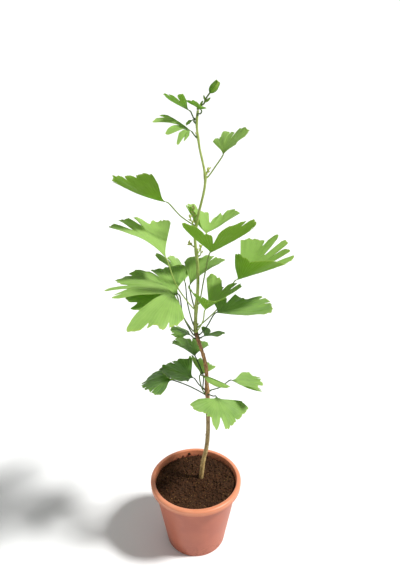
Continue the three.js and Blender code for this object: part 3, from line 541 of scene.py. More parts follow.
def ginkgo_leaf(name, deep, bright, under, glow):
    """Fresh ginkgo leaf: a soft waxy fan, lit through from behind, ribbed lengthwise by fine
    forking veins. The wax gives a broad dull shine; the underside is a yellower green."""
    material, tree, place = new_material(name)
    patch, fine, drift = [
        add(tree, "TexNoise", {}, {"Vector": place, **size})
        for size in (grain(22), grain(1.8), grain(14, 1.0))]
    tone, lower, stalk, share, ray, radius = [
        add(tree, "Attribute", {"attribute_name": mark}, {}, "Fac")
        for mark in ("tone", "lower", "stalk", "share", "ray", "radius")]
    blade = add(tree, "Math", {"operation": "SUBTRACT"}, [1.0, stalk])
    stray = add(tree, "Math", TIMES_PLUS, [drift, 2.2, -1.1])
    ray = add(tree, "Math", PLUS, [ray, stray])
    veins = add(tree, "Math", TIMES, [vein_ridges(tree, ray, radius), blade])

    # Painted shade of the pleats: broad light and dark streaks along the rays, about 5 mm apart
    # at mid blade.
    across = add(tree, "Math", TIMES, [ray, 0.14])
    outward = add(tree, "Math", TIMES, [radius, 0.02])
    fan = add(tree, "CombineXYZ", {}, [across, outward, tone])
    painted_pleat_shade = add(tree, "TexNoise", {}, {"Vector": fan, "Scale": 1.0, "Detail": 2.0})
    # Painted light and shade in part: a leaf's tone, low for leaves in shade and high for lit ones,
    # moves its face from the deep green to the bright one, with random patches.
    light = add(tree, "Math", TIMES, [tone, 0.8])
    light = add(tree, "Math", TIMES_PLUS, [patch, 0.5, light])
    light = add(tree, "Math", TIMES_PLUS, [painted_pleat_shade, 0.35, light])
    shade = add(tree, "MapRange", SOFT_STEP, [light, 0.2, 1.15, 0.0, 1.0])
    mottle = add(tree, "Math", TIMES, [fine, 0.12])
    # Painted shade: blades in shade are painted darker below, and each stalk is painted from a
    # shaded dark green to a lit pale green by its leaf's tone.
    dark = add(tree, "MapRange", SOFT_STEP, [tone, 0.2, 0.7, 0.75, 0.0])
    dull = add(tree, "Math", TIMES_PLUS, [patch, 0.25, dark])
    stalk_painted_light = add(tree, "MapRange", SOFT_STEP, [tone, 0.45, 0.9, 0.0, 1.0])
    upper_side = add(tree, "Mix", COLOURS, {0: shade, 6: colour(deep), 7: colour(bright)}, 2)
    upper_side = add(tree, "Mix", COLOURS, {0: mottle, 6: upper_side, 7: colour(bright)}, 2)
    under_side = add(tree, "Mix", COLOURS, {0: dull, 6: colour(under), 7: colour(deep)}, 2)
    green = add(tree, "Mix", COLOURS, {0: stalk_painted_light, 6: colour("#415A33"), 7: colour("#A3BA60")}, 2)
    # The veins are paler than the blade between them, most of all from below, and the thin
    # margin is paler still. The blade's foot takes the stalk's colour.
    pale = add(tree, "Math", TIMES_PLUS, [lower, 0.06, 0.2])
    pale = add(tree, "Math", TIMES, [veins, pale])
    base = add(tree, "MapRange", SOFT_STEP, [radius, 2.0, 13.0, 0.7, 0.0])
    rim = add(tree, "MapRange", SOFT_STEP, [share, 0.955, 1.0, 0.0, 0.5])
    face = upper_side
    for amount, coat in ((lower, under_side), (pale, colour("#CFE08A")), (base, green),
                         (rim, colour("#C4D56C")), (stalk, green)):
        face = add(tree, "Mix", COLOURS, {0: amount, 6: face, 7: coat}, 2)

    relief = add(tree, "Math", TIMES_PLUS, [fine, 0.25, veins])
    normal = add(tree, "Bump", {}, {"Height": relief, "Distance": 0.12 * MM, "Strength": 0.55})
    rough = add(tree, "Math", TIMES_PLUS, [patch, 0.12, 0.4])
    rough = add(tree, "Math", TIMES_PLUS, [lower, 0.14, rough])
    skin = add(tree, "BsdfPrincipled", {}, {
        "Base Color": face, "Roughness": rough, "IOR": 1.42, "Normal": normal,
        "Specular IOR Level": 0.26})
    lit = add(tree, "Mix", COLOURS, {0: 0.5, 6: face, 7: colour(glow)}, 2)
    lit = add(tree, "Mix", COLOURS, {0: stalk, 6: lit, 7: green}, 2)
    through = add(tree, "BsdfTranslucent", {}, {"Color": lit, "Normal": normal})
    thin = add(tree, "Math", TIMES, [blade, LIGHT_THROUGH_BLADE])
    both = add(tree, "MixShader", {}, [thin, skin, through])
    add(tree, "OutputMaterial", {}, {"Surface": both}, None)
    return material


def above_soil(*heights):
    """Heights above the soil in mm, as heights above the floor in metres."""
    return [(SOIL_TOP + height) * MM for height in heights]


def ginkgo_bark():
    """Young ginkgo bark: smooth khaki-grey cork low down, dried to tan just above the soil,
    reddish brown higher up, with fine cracks along the stem and small pale pores."""
    material, tree, place = new_material("ginkgo_bark")
    height = add(tree, "SeparateXYZ", {}, [place], 2)
    drawn = add(tree, "Mapping", {}, {0: place, "Scale": (1.0, 1.0, 0.16)})
    cracks = add(tree, "TexNoise", {}, {"Vector": drawn, **grain(1.1, 4.0, 0.65)})
    patches = add(tree, "TexNoise", {}, {"Vector": place, **grain(9, 3.0)})
    crack = add(tree, "MapRange", SOFT_STEP, [cracks, 0.35, 0.65, 0.0, 1.0])
    patch = add(tree, "MapRange", SOFT_STEP, [patches, 0.55, 0.75, 0.0, 0.4])
    uneven = add(tree, "Math", TIMES_PLUS, [patches, 0.03, height])
    young, damp, dry, scar = [
        add(tree, "MapRange", SOFT_STEP, [at, *above_soil(low, high), start, end])
        for at, low, high, start, end in (
            (uneven, 112, 165, 0.0, 1.0), (height, 1, 7, 0.5, 0.0),
            (height, 30, 75, 0.75, 0.0), (height, 246, 256, 0.0, 0.75))]
    # Pores 0.8 mm wide and about 3 mm apart.
    cells = add(tree, "TexVoronoi", {}, {"Vector": place, "Scale": 1 / (3 * MM)})
    pore = add(tree, "MapRange", SOFT_STEP, [cells, 0.1, 0.2, 0.6, 0.0])
    cork, red, tan = [
        add(tree, "Mix", COLOURS, {0: crack, 6: colour(dark), 7: colour(light)}, 2)
        for dark, light in (("#7D6B45", "#B8A272"), ("#6A4632", "#C2935F"), ("#B08E52", "#E8CC8C"))]
    face = cork
    for amount, coat in ((young, red), (dry, tan), (patch, colour("#8C7A50")),
                         (pore, colour("#C9B68C")), (damp, colour("#4A3826")),
                         (scar, colour("#43301F"))):
        face = add(tree, "Mix", COLOURS, {0: amount, 6: face, 7: coat}, 2)
    relief = add(tree, "Math", PLUS, [cracks, pore])
    rough = add(tree, "MapRange", {}, [cracks, 0.3, 0.7, 0.75, 0.5])
    return finish_material(material, tree, relief, 0.25, 0.7, {
        "Base Color": face, "Roughness": rough, "IOR": 1.45, "Specular IOR Level": 0.35})


def green_bark(name, deep, bright):
    """This year's shoot, not yet woody: a smooth waxy green skin with fine lengthwise
    lines, brownish at its foot and yellowish on the bud scales."""
    material, tree, place = new_material(name)
    height = add(tree, "SeparateXYZ", {}, [place], 2)
    drawn = add(tree, "Mapping", {}, {0: place, "Scale": (1.0, 1.0, 0.08)})
    lines = add(tree, "TexNoise", {}, {"Vector": drawn, **grain(0.9, 3.0)})
    patches = add(tree, "TexNoise", {}, {"Vector": place, **grain(7)})
    bud = add(tree, "Attribute", {"attribute_name": "bud"}, {}, "Fac")
    line = add(tree, "MapRange", SOFT_STEP, [lines, 0.3, 0.6, 0.0, 1.0])
    tone = add(tree, "Math", TIMES, [patches, 0.5])
    tone = add(tree, "Math", TIMES_PLUS, [lines, 0.6, tone])
    tone = add(tree, "MapRange", SOFT_STEP, [tone, 0.3, 0.8, 0.0, 1.0])
    old = add(tree, "MapRange", SOFT_STEP, [height, *above_soil(262, 300), 0.5, 0.0])
    scale = add(tree, "Mix", COLOURS, {0: line, 6: colour("#98A04A"), 7: colour("#C2CA76")}, 2)
    face = colour(deep)
    for amount, coat in ((tone, colour(bright)), (old, colour("#86803F")), (bud, scale)):
        face = add(tree, "Mix", COLOURS, {0: amount, 6: face, 7: coat}, 2)
    rough = add(tree, "MapRange", {}, [lines, 0.3, 0.7, 0.5, 0.38])
    return finish_material(material, tree, lines, 0.12, 0.5, {
        "Base Color": face, "Roughness": rough, "IOR": 1.45, "Specular IOR Level": 0.45,
        "Subsurface Weight": 0.12, "Subsurface Scale": 0.0012,
        "Subsurface Radius": (0.6, 1.0, 0.3)})


def moulded_polypropylene():
    """Terracotta-coloured polypropylene, injection moulded: an even orange-brown with a soft
    satin shine from the fine grain of the mould, dusty low down and inside the rim. The rim is
    painted paler, as painted light from above."""
    material, tree, place = new_material("moulded_polypropylene")
    height = add(tree, "SeparateXYZ", {}, [place], 2)
    ringed = add(tree, "Mapping", {}, {0: place, "Scale": (0.15, 0.15, 3.0)})
    # The mould's grain is about 0.1 mm; it is drawn at 0.5 mm so that it shows.
    clouds, mould, scratches, flecks = [
        add(tree, "TexNoise", {}, {"Vector": at, **size})
        for at, size in ((place, grain(30)), (place, grain(0.5)),
                         (ringed, grain(2, 4.0, 0.7)), (place, grain(4, 5.0, 0.65)))]
    inside = add(tree, "Attribute", {"attribute_name": "inside"}, {}, "Fac")
    cloud = add(tree, "MapRange", SOFT_STEP, [clouds, 0.3, 0.7, 0.0, 1.0])
    # Painted light: the rim is painted paler than the body, for the light it catches from above.
    rim_painted_light = add(tree, "MapRange", SOFT_STEP, [
        height, (RIM_FOOT - 2) * MM, (RIM_FOOT + 5) * MM, 0.0, 1.0])
    scuff = add(tree, "MapRange", SOFT_STEP, [scratches, 0.6, 0.75, 0.0, 0.22])
    fleck = add(tree, "MapRange", SOFT_STEP, [flecks, 0.45, 0.65, 0.0, 1.0])
    # Dust from the soil: at the foot, and on the inner wall above the soil.
    foot = add(tree, "MapRange", SOFT_STEP, [height, 0.0, 0.03, 0.5, 0.0])
    splash = add(tree, "MapRange", SOFT_STEP, [height, *above_soil(-3, 9), 0.95, 0.1])
    splash = add(tree, "Math", TIMES, [splash, inside])
    dust = add(tree, "Math", GREATER, [foot, splash])
    dust = add(tree, "Math", TIMES, [dust, fleck])
    rim = add(tree, "Mix", COLOURS, {0: cloud, 6: colour("#DD8A63"), 7: colour("#E39470")}, 2)
    face = colour("#B05E46")
    for amount, coat in ((cloud, colour("#BA694F")), (rim_painted_light, rim), (scuff, colour("#EDB499")),
                         (dust, colour("#6B4A36"))):
        face = add(tree, "Mix", COLOURS, {0: amount, 6: face, 7: coat}, 2)
    rough = add(tree, "MapRange", SOFT_STEP, [clouds, 0.3, 0.7, 0.38, 0.46])
    rough = add(tree, "Math", TIMES_PLUS, [dust, 0.4, rough])
    return finish_material(material, tree, mould, 0.05, 0.35, {
        "Base Color": face, "Roughness": rough, "IOR": 1.49, "Subsurface Weight": 0.06,
        "Subsurface Scale": 0.002, "Subsurface Radius": (1.0, 0.45, 0.25)})


def peat_mix():
    """Damp peat and composted bark: crumbs nearly black, reddish fibre and a few pale chips,
    with no shine, darker where they are wet."""
    material, tree, place = new_material("peat_mix")
    crumbs, patches, reddish = [
        add(tree, "TexNoise", {}, {"Vector": place, **size})
        for size in (grain(1.6, 4.0, 0.7), grain(16), grain(3.5, 3.0))]
    tone = add(tree, "Attribute", {"attribute_name": "tone"}, {}, "Fac")
    crumb, red, wet, bark, chip = [
        add(tree, "MapRange", SOFT_STEP, [at, low, high, 0.0, most])
        for at, low, high, most in (
            (crumbs, 0.3, 0.7, 1.0), (reddish, 0.5, 0.75, 0.6), (patches, 0.35, 0.7, 0.35),
            (tone, 0.2, 0.6, 0.8), (tone, 0.7, 1.0, 0.9))]
    face = colour("#1B100A")
    for amount, coat in ((crumb, "#573820"), (red, "#60361F"), (wet, "#2C1D14"),
                         (bark, "#5A3A24"), (chip, "#BE9656")):
        face = add(tree, "Mix", COLOURS, {0: amount, 6: face, 7: colour(coat)}, 2)
    rough = add(tree, "MapRange", {}, [crumbs, 0.3, 0.7, 0.7, 0.95])
    return finish_material(material, tree, crumbs, 0.8, 0.9, {
        "Base Color": face, "Roughness": rough, "Specular IOR Level": 0.16})


def painted_board():
    """Matt white painted board for the studio floor, with a barely visible roller texture."""
    material, tree, place = new_material("painted_board")
    clouds = add(tree, "TexNoise", {}, {"Vector": place, **grain(300)})
    roller = add(tree, "TexNoise", {}, {"Vector": place, **grain(3)})
    face = add(tree, "Mix", COLOURS, {0: clouds, 6: colour("#F4F4F2"), 7: colour("#F8F8F7")}, 2)
    return finish_material(material, tree, roller, 0.05, 1.0, {"Base Color": face, "Roughness": 0.9})


# ---------------------------------------------------------------- pot


def inside_radius(z):
    """Inside radius of the pot's wall at a height: a straight taper from floor to mouth."""
    share = (z - POT_FLOOR) / (POT_HEIGHT - POT_FLOOR)
    return lerp(BASE_RADIUS - POT_WALL, MOUTH_RADIUS, share)


def outside_radius(z):
    """Outside radius of the pot's wall at a height."""
    return inside_radius(z) + POT_WALL


def arc(centre, radius, start, end, count):
    """Points on a circular arc, given as radius and height."""
    angle = np.radians(np.linspace(start, end, count))
    return np.stack([centre[0] + radius * np.cos(angle), centre[1] + radius * np.sin(angle)], 1)


def pot_profile():
    """Radius and height from the foot's inner edge, out and up the wall, round the rim and
    down the inner wall to the floor, with each corner rounded."""
    groove = POT_HEIGHT - RIM_TOP_THICKNESS
    bead = POT_HEIGHT - RIM_CROWN - RIM_BEAD_DROP
    skirt = RIM_RADIUS - RIM_BEAD
    inner = RIM_RADIUS - RIM_SKIRT_WALL
    wall = np.linspace(FOOT_CHAMFER + 1, groove - 1, 24)
    turn = np.linspace(0, np.pi / 2, 9)[:, None]
    crown = np.hstack([RIM_RADIUS - RIM_WIDTH * 0.55 * (1 - np.cos(turn)),
                       POT_HEIGHT - RIM_CROWN * (1 - np.sin(turn))])
    down = np.linspace(POT_HEIGHT - LIP_ROUNDING, POT_FLOOR + 1, 30)
    under = groove - GROOVE_ROUNDING
    return np.vstack([
        [[outside_radius(POT_FLOOR) - FOOT_CHAMFER, 0]],
        arc((outside_radius(FOOT_CHAMFER) - FOOT_CHAMFER, FOOT_CHAMFER), FOOT_CHAMFER, -80, 0, 6),
        np.stack([outside_radius(wall), wall], axis=1),
        arc((outside_radius(groove) + GROOVE_ROUNDING + 0.1, under), GROOVE_ROUNDING, 180, 90, 5),
        arc((inner - GROOVE_ROUNDING, under), GROOVE_ROUNDING, 90, 0, 5),
        arc((inner + SKIRT_EDGE_ROUNDING, RIM_FOOT + SKIRT_EDGE_ROUNDING), SKIRT_EDGE_ROUNDING,
            180, 270, 5),
        arc((skirt - SKIRT_ROUNDING, RIM_FOOT + SKIRT_ROUNDING), SKIRT_ROUNDING, -90, 0, 6),
        [[skirt, bead - 0.7], [skirt + 0.1, bead - 0.3], [RIM_RADIUS - 0.1, bead + 0.3],
         [RIM_RADIUS, bead + 0.7]],
        crown,
        arc((MOUTH_RADIUS + LIP_ROUNDING, POT_HEIGHT - LIP_ROUNDING), LIP_ROUNDING, 90, 180, 6),
        np.stack([inside_radius(down), down], axis=1),
        [[inside_radius(POT_FLOOR) - 0.3, POT_FLOOR]],
    ])


def floor_sheet(rim, height):
    """The pot's floor at one height as five equal sheets, each a grid that runs from a round
    drain hole out to a sector's edge: a point is the edge point, moved towards the hole's
    middle until it is at the hole's radius for share 0 and not at all for share 1."""
    half = np.pi / DRAIN_HOLES
    angle = np.linspace(-half, half, WALL_COLUMNS_PER_HOLE + 1)
    bow = rim * np.stack([np.cos(angle), np.sin(angle)], axis=1)
    spoke = np.linspace(1, 0, 13)[1:, None]
    edge = np.vstack([bow, bow[-1] * spoke, bow[0] * spoke[-2::-1]])
    middle = np.array([DRAIN_CIRCLE_DIAMETER / 2, 0.0])
    hole = middle + unit(edge - middle) * DRAIN_HOLE_DIAMETER / 2
    sheet = lerp(hole, edge, np.linspace(0, 1, 5)[:, None, None])
    turns = 2 * np.pi * np.arange(DRAIN_HOLES) / DRAIN_HOLES
    spin = np.array([[np.cos(turns), -np.sin(turns)], [np.sin(turns), np.cos(turns)]])
    flat = np.einsum("abk,ijb->kija", spin, sheet)
    return np.concatenate([flat, np.full((*flat.shape[:-1], 1), float(height))], axis=-1)


def pot_shape():
    """The profile turned about the pot's axis, closed below by two floor sheets and by the
    walls of the drain holes between them."""
    profile = pot_profile()
    columns = DRAIN_HOLES * WALL_COLUMNS_PER_HOLE
    angle = 2 * np.pi * (np.arange(columns) - WALL_COLUMNS_PER_HOLE / 2) / columns
    radius, height = profile[:, :1], profile[:, 1:]
    wall = np.stack([radius * np.cos(angle), radius * np.sin(angle), height + 0 * angle], axis=-1)
    faces = grid_faces(len(profile), columns, around=True)
    crown = np.argmax(profile[:, 1])
    inside = np.repeat(np.arange(len(profile)) > crown, columns)
    shapes = [solid(wall.reshape(-1, 3), [faces], inside=inside)]
    below = floor_sheet(profile[0, 0], 0)
    above = floor_sheet(profile[-1, 0], POT_FLOOR)
    for low, high in zip(below, above):
        count, around = low.shape[:2]
        quads = grid_faces(count, around, around=True)
        shapes.append(solid(low.reshape(-1, 3), [quads]))
        shapes.append(solid(high.reshape(-1, 3), [quads[:, ::-1]], inside=1))
        bore = np.stack([high[0], low[0]])
        shapes.append(solid(bore.reshape(-1, 3), [grid_faces(2, around, around=True)]))
    return joined(shapes)


# ---------------------------------------------------------------- stem


STEM_LINE = spline(STEM_ROUTE + [0, 0, SOIL_TOP], 1200)
JOINTS = np.array([leaf["joint"] for leaf in LEAVES], dtype=float)


def stem_point(height):
    """Points of the stem's centre line at heights above the soil."""
    z = SOIL_TOP + np.asarray(height, dtype=float)
    x, y = [np.interp(z, STEM_LINE[:, 2], STEM_LINE[:, k]) for k in (0, 1)]
    return np.stack([x, y, z], axis=-1)


def stem_radius(height):
    """Stem radius at heights above the soil: three straight tapers, swollen by a bell curve
    at each joint."""
    top = STEM_ROUTE[-1, 2]
    places = [-ROOT_DEPTH, 0, WOOD_HEIGHT, top]
    sizes = [ROOT_TIP_DIAMETER, STEM_SOIL_DIAMETER, STEM_SCAR_DIAMETER, STEM_TIP_DIAMETER]
    nearest = np.min(np.abs(np.subtract.outer(np.asarray(height, dtype=float), JOINTS)), axis=-1)
    swelling = JOINT_SWELLING * np.exp(-(nearest / SWELLING_REACH) ** 2)
    swelling = np.where(np.asarray(height) < 0, 0, swelling)
    return (np.interp(height, places, sizes) + swelling) / 2


def stem_length(start, end, step, sides):
    """A length of stem as level rings, with heights and angles of its points."""
    height = np.linspace(start, end, int((end - start) / step))
    grid = rings(stem_point(height), stem_radius(height), sides, level=True)
    angle = np.linspace(0, 2 * np.pi, sides, endpoint=False)
    return grid, height[:, None], angle[None, :]


def swell(grid, height, amount):
    """Moves a stem's rings out from their centre line by an amount for each point."""
    centre = stem_point(height[:, 0])[:, None]
    return grid + unit(grid - centre) * amount[..., None]


def woody_shape():
    """The woody stem: level rings with lengthwise ridges, old leaf scars as low bumps on
    alternate sides, a knobbly short shoot where the low leaves sit and the ring scars of the
    winter bud at the top."""
    grid, height, angle = stem_length(-ROOT_DEPTH, WOOD_HEIGHT, WOOD_RING_STEP, WOOD_SIDES)
    ridges = BARK_RIDGE * noise(grid * [1, 1, 0.12], 1.1, 3)
    ridges = ridges + SMALL_BARK_RIDGE * noise(grid, 2.4, 4)
    knots = np.zeros(grid.shape[:2])
    for level, side in OLD_SCARS:
        turn = np.angle(np.exp(1j * (angle - np.radians(side))))
        knots += LEAF_SCAR_BUMP * np.exp(-((height - level) / 1.5) ** 2 - (turn / 0.55) ** 2)
        knots -= LEAF_SCAR_DIP * np.exp(-((height - level - 2.6) / 0.8) ** 2 - (turn / 0.7) ** 2)
    low_cluster = JOINTS[JOINTS < LOW_CLUSTER_TOP].mean()
    spur = np.exp(-((height - low_cluster) / 6) ** 2)
    ringed = 0.18 * np.cos(2 * np.pi * height / BUD_SCAR_SPACING)
    top = np.exp(-((height - WOOD_HEIGHT + 4) / 3.5) ** 2)
    rough = ridges + knots + (0.25 + ringed) * (0.8 * spur + top)
    foot = np.exp(-np.maximum(height, 0) / 5) * (height > -8)
    flare = foot * (0.35 + 0.35 * np.cos(5 * angle + 1))
    return closed_tube(swell(grid, height, rough + flare))


def bud_shape(foot, way, length, width):
    """A pointed bud: rings on a short straight path, their radius the sine of the share of
    the length to the power 0.7, drawn in towards the tip, with three stepped scales."""
    share = np.linspace(0, 1, 22)
    path = foot + unit(way) * (share * length)[:, None]
    scales = 1 + 0.1 * np.mod(share * 3.2, 1)
    radius = width / 2 * np.sin(np.pi * np.clip(share, 0.02, 0.985) ** 0.7) ** 0.9 * scales
    return closed_tube(rings(path, radius, 12), bud=1)


def shoot_shape():
    """The green shoot: level rings with three faint ribs that wind slowly round it, and a
    small bud above each stalk."""
    top = STEM_ROUTE[-1, 2]
    grid, height, angle = stem_length(WOOD_HEIGHT + CLEARANCE, top, SHOOT_RING_STEP, SHOOT_SIDES)
    ribs = 0.08 * np.cos(3 * angle + height / 38) + 0.05 * noise(grid * [1, 1, 0.2], 1.6, 6)
    collar = np.exp(-((height - WOOD_HEIGHT - 2) / 2.5) ** 2) * 0.25
    shapes = [closed_tube(swell(grid, height, ribs + collar), bud=0)]
    for leaf in LEAVES:
        if leaf["joint"] < WOOD_HEIGHT + 8 or leaf["joint"] > top - 20:
            continue
        side = np.radians(leaf["side"])
        out = np.array([np.cos(side), np.sin(side), 0])
        above = leaf["joint"] + SHOOT_BUD_ABOVE_STALK
        foot = stem_point(above) + out * (stem_radius(above) - 0.3)
        shapes.append(bud_shape(foot, out * 0.55 + [0, 0, 1], SHOOT_BUD_LENGTH, SHOOT_BUD_WIDTH))
    return joined(shapes)


# ---------------------------------------------------------------- leaves and twigs


def stalk_path(row, radius, end, end_way, count):
    """A stalk's centre line: from inside the stem, out and up at its foot, through the bowed
    middle to the end, and on into the blade where there is one."""
    side, climb = np.radians(row["side"]), np.radians(STALK_CLIMB)
    out = np.array([np.cos(side), np.sin(side), 0])
    distance = stem_radius(row["joint"]) + CLEARANCE + radius * np.sin(climb)
    start = stem_point(row["joint"]) + out * distance
    way = out * np.cos(climb) + np.array([0, 0, np.sin(climb)])
    middle = (start + end) / 2 + row["bow"]
    points = [start - way * 1.2, start, start + way * STALK_FOOT, middle, end]
    if end_way is not None:
        points.append(end + end_way * STALK_INTO_BLADE)
    return spline(points, count)


def blade_axes(leaf):
    """The blade's own axes: along its middle ray, to its left, and up from its face."""
    a, e, roll = np.radians([leaf["heading"], leaf["rise"], leaf["roll"]])
    along = np.array([np.cos(a) * np.cos(e), np.sin(a) * np.cos(e), np.sin(e)])
    up = np.array([-np.cos(a) * np.sin(e), -np.sin(a) * np.sin(e), np.cos(e)])
    up = up * np.cos(roll) - np.cross(along, up) * np.sin(roll)
    return along, np.cross(up, along), up


def on_blade(leaf, start, angle, r, lift):
    """A fan on a cone about an axis that leans up from the middle ray. The point at an angle
    and a distance r is the start, plus r times the cone's slant, plus lift square to it; the
    margin turns back by bend times radius times the square of r over the radius."""
    along, left, up = blade_axes(leaf)
    cup = np.radians(leaf["cup"])
    turn = np.radians(angle) / np.sin(cup)
    axis = along * np.cos(cup) + up * np.sin(cup)
    below = along * np.sin(cup) - up * np.cos(cup)
    around = below * np.cos(turn)[..., None] + left * np.sin(turn)[..., None]
    high = lift - leaf["bend"] * leaf["radius"] * (r / leaf["radius"]) ** 2
    outward = r * np.sin(cup) - high * np.cos(cup)
    inward = r * np.cos(cup) + high * np.sin(cup)
    return start + axis * inward[..., None] + around * outward[..., None]


def margin_reach(leaf, angle, seed):
    """How far the blade reaches at each angle: the outline's corners joined by straight
    lines, rounded by a bell-shaped mean, less a narrow wedge at each cut between lobes, with
    small teeth 1 to 3 mm apart along the margin."""
    corners = np.array(leaf["outline"], dtype=float)
    fine = np.linspace(corners[0, 0], corners[-1, 0], 1200)
    reach = np.interp(fine, corners[:, 0], corners[:, 1])
    weight = np.exp(-((angle[:, None] - fine) / MARGIN_ROUNDING) ** 2)
    smooth = weight @ reach / weight.sum(axis=1)
    for at, depth, width in leaf["cuts"]:
        wedge = np.clip(1 - np.abs(angle - at) / width, 0, 1)
        smooth = smooth * (1 - depth * wedge ** 0.8)
    along_margin = np.radians(angle) * leaf["radius"]
    line = np.stack([along_margin, 0 * along_margin, 0 * along_margin], axis=1)
    teeth = MARGIN_TOOTH * noise(line, 3.2, seed)
    teeth = teeth + SMALL_MARGIN_TOOTH * noise(line, 1.4, seed + 1)
    return leaf["radius"] * smooth + teeth * np.clip(leaf["radius"] / 40, 0.45, 1)


def curl_lift(leaf, angle, share):
    """How far curled stretches of the margin rise: each by its height, times a bell curve of
    the angle, times the square of the way from mid blade to the margin."""
    outer = np.clip((share - 0.45) / 0.55, 0, 1) ** 2
    lift = np.zeros(len(angle))
    for at, width, height in leaf["curls"]:
        lift = lift + height * np.exp(-((angle - at) / width) ** 2)
    return lift[:, None] * outer[None, :]


def blade_relief(leaf, grid_angle, r, share, seed):
    """How far the blade stands off its cone: broad and fine pleats along the rays that grow
    with the distance, small crinkles, a frill that grows with the fifth power of the share
    of the reach, and the curls of the margin."""
    size = leaf["radius"]
    along_margin = np.radians(grid_angle) * size
    flat = np.stack([along_margin, r * 0.35, 0 * r], axis=-1)
    spread = np.stack([along_margin * r / size, r, 0 * r], axis=-1)
    pleats = PLEAT_HEIGHT * noise(flat, 0.22 * size, seed + 2)
    pleats = pleats + SMALL_PLEAT_HEIGHT * noise(flat, 0.09 * size, seed + 3)
    crinkle = CRINKLE_HEIGHT * noise(spread, 4.0, seed + 4)
    frill = FRILL_HEIGHT * noise(flat, 6.5, seed + 5) * share ** 5
    lift = (pleats * (r / size) ** 1.2 + frill + crinkle * share) * min(1, size / FULL_RELIEF_RADIUS)
    return lift + curl_lift(leaf, grid_angle[:, 0], share)


def blade_shape(leaf, start, seed):
    """The blade as one thin closed sheet. Its upper face is a grid of angle and share of the
    reach, on the leaf's cone and lifted by its relief. Close to the stalk the sides draw in:
    the angle is cut by 0.7 of a falling exponential of the distance. The lower face is the
    same, less the thickness; a strip of quads joins them."""
    columns, rows = BLADE_COLUMNS, BLADE_ROWS
    angle = np.linspace(leaf["outline"][0][0], leaf["outline"][-1][0], columns)
    reach = margin_reach(leaf, angle, seed)
    share = np.linspace(0, 1, rows) ** 0.85
    grid_angle = np.repeat(angle[:, None], rows, axis=1)
    r = lerp(BLADE_START, reach[:, None], share[None, :])
    lift = blade_relief(leaf, grid_angle, r, share, seed)
    half = lerp(BLADE_HALF_THICKNESS_BASE, BLADE_HALF_THICKNESS_MARGIN, share)[None, :]
    drawn_in = grid_angle * (1 - 0.7 * np.exp(-r / (0.2 * leaf["radius"])))
    upper = on_blade(leaf, start, drawn_in, r, lift + half)
    lower = on_blade(leaf, start, drawn_in, r, lift - half)
    quads = grid_faces(columns, rows)
    count = columns * rows
    index = np.arange(count).reshape(columns, rows)
    edge = np.concatenate([index[0, :-1], index[:-1, -1], index[-1, :0:-1], index[:0:-1, 0]])
    ahead = np.roll(edge, -1)
    strip = np.stack([edge + count, ahead + count, ahead, edge], axis=1)
    faces = [quads[:, ::-1], quads + count, strip]
    marks = {
        "ray": np.tile(grid_angle.ravel(), 2), "radius": np.tile(r.ravel(), 2),
        "share": np.tile(np.tile(share, columns), 2), "lower": np.repeat([0, 1], count),
        "tone": leaf["tone"],
    }
    return solid(np.vstack([upper.reshape(-1, 3), lower.reshape(-1, 3)]), faces, **marks)


def leaf_shape(leaf, seed):
    """A blade with its stalk: the stalk is thicker at its foot and tapers away under the
    blade, with a shallow groove along its upper side."""
    start = stem_point(leaf["joint"]) + leaf["base"]
    path = stalk_path(leaf, STALK_DIAMETER / 2, start, blade_axes(leaf)[0], 60)
    along = np.linspace(0, path_length(path), len(path))
    left_over = along[-1] - along
    radius = STALK_DIAMETER / 2 * (1.12 + 0.6 * np.exp(-(along / 2.6) ** 2))
    radius = radius * np.clip(left_over / STALK_INTO_BLADE, 0.15, 1) ** 0.6
    grid = rings(path, radius, STALK_SIDES)
    out = unit(grid - path[:, None])
    groove = STALK_GROOVE * radius[:, None] * np.maximum(out[..., 2], 0) ** 4
    grid = grid - out * groove[..., None]
    stalk = closed_tube(grid, stalk=1, tone=leaf["tone"])
    return joined([blade_shape(leaf, start, seed), stalk])


def twig_shape(twig):
    """A short twig: an even bar that swells by half a sine wave into a scaly pointed bud."""
    end = stem_point(twig["joint"]) + twig["tip"]
    path = stalk_path(twig, TWIG_DIAMETER / 2, end, None, 46)
    along = np.linspace(0, path_length(path), len(path))
    bud = np.clip((along - along[-1] + TWIG_BUD_LENGTH) / TWIG_BUD_LENGTH, 0, 1)
    width = lerp(TWIG_DIAMETER, TWIG_BUD_DIAMETER, np.sin(np.pi * bud ** 0.8))
    scaly = 1 + 0.09 * np.mod(bud * 3, 1)
    width = width * scaly * np.where(bud > 0.85, 1 - (bud - 0.85) * 5, 1)
    foot = 1 + 0.6 * np.exp(-(along / 1.8) ** 2)
    grid = rings(path, width / 2 * foot, STALK_SIDES)
    grid = grid + 0.08 * noise(grid, 1.3, 9)[..., None]
    marks = np.concatenate([np.repeat(bud > 0.02, STALK_SIDES), [0, 1]])
    pieces = [closed_tube(grid, bud=marks)]
    for number, place in enumerate(TWIG_SCALE_PLACES):
        side = 1 - 2 * (number % 2)
        scale = scale_shape(path, place, side, TWIG_SCALE_LENGTH, TWIG_SCALE_WIDTH)
        pieces.append(closed_tube(scale, bud=1))
    return joined(pieces)


def scale_shape(path, place, side, length, width):
    """The rings of a small scale or leaflet that stands off a stalk: a spindle whose radius
    is half a sine wave, on a line that leaves the path at an angle and bends back to it."""
    at = round(place * (len(path) - 1))
    way = unit(path[at + 1] - path[at - 1])
    out = unit(np.cross(way, [0.3, -1.0, 0.2])) * side
    reach = np.linspace(0, length, SCALE_RINGS)[:, None]
    line = path[at] + (0.75 * way + 0.65 * out) * reach - out * 0.14 * reach ** 2 / length
    plump = width / 2 * np.sin(np.pi * np.linspace(0.08, 0.97, SCALE_RINGS)) ** 0.8
    return rings(line, plump, SCALE_SIDES)


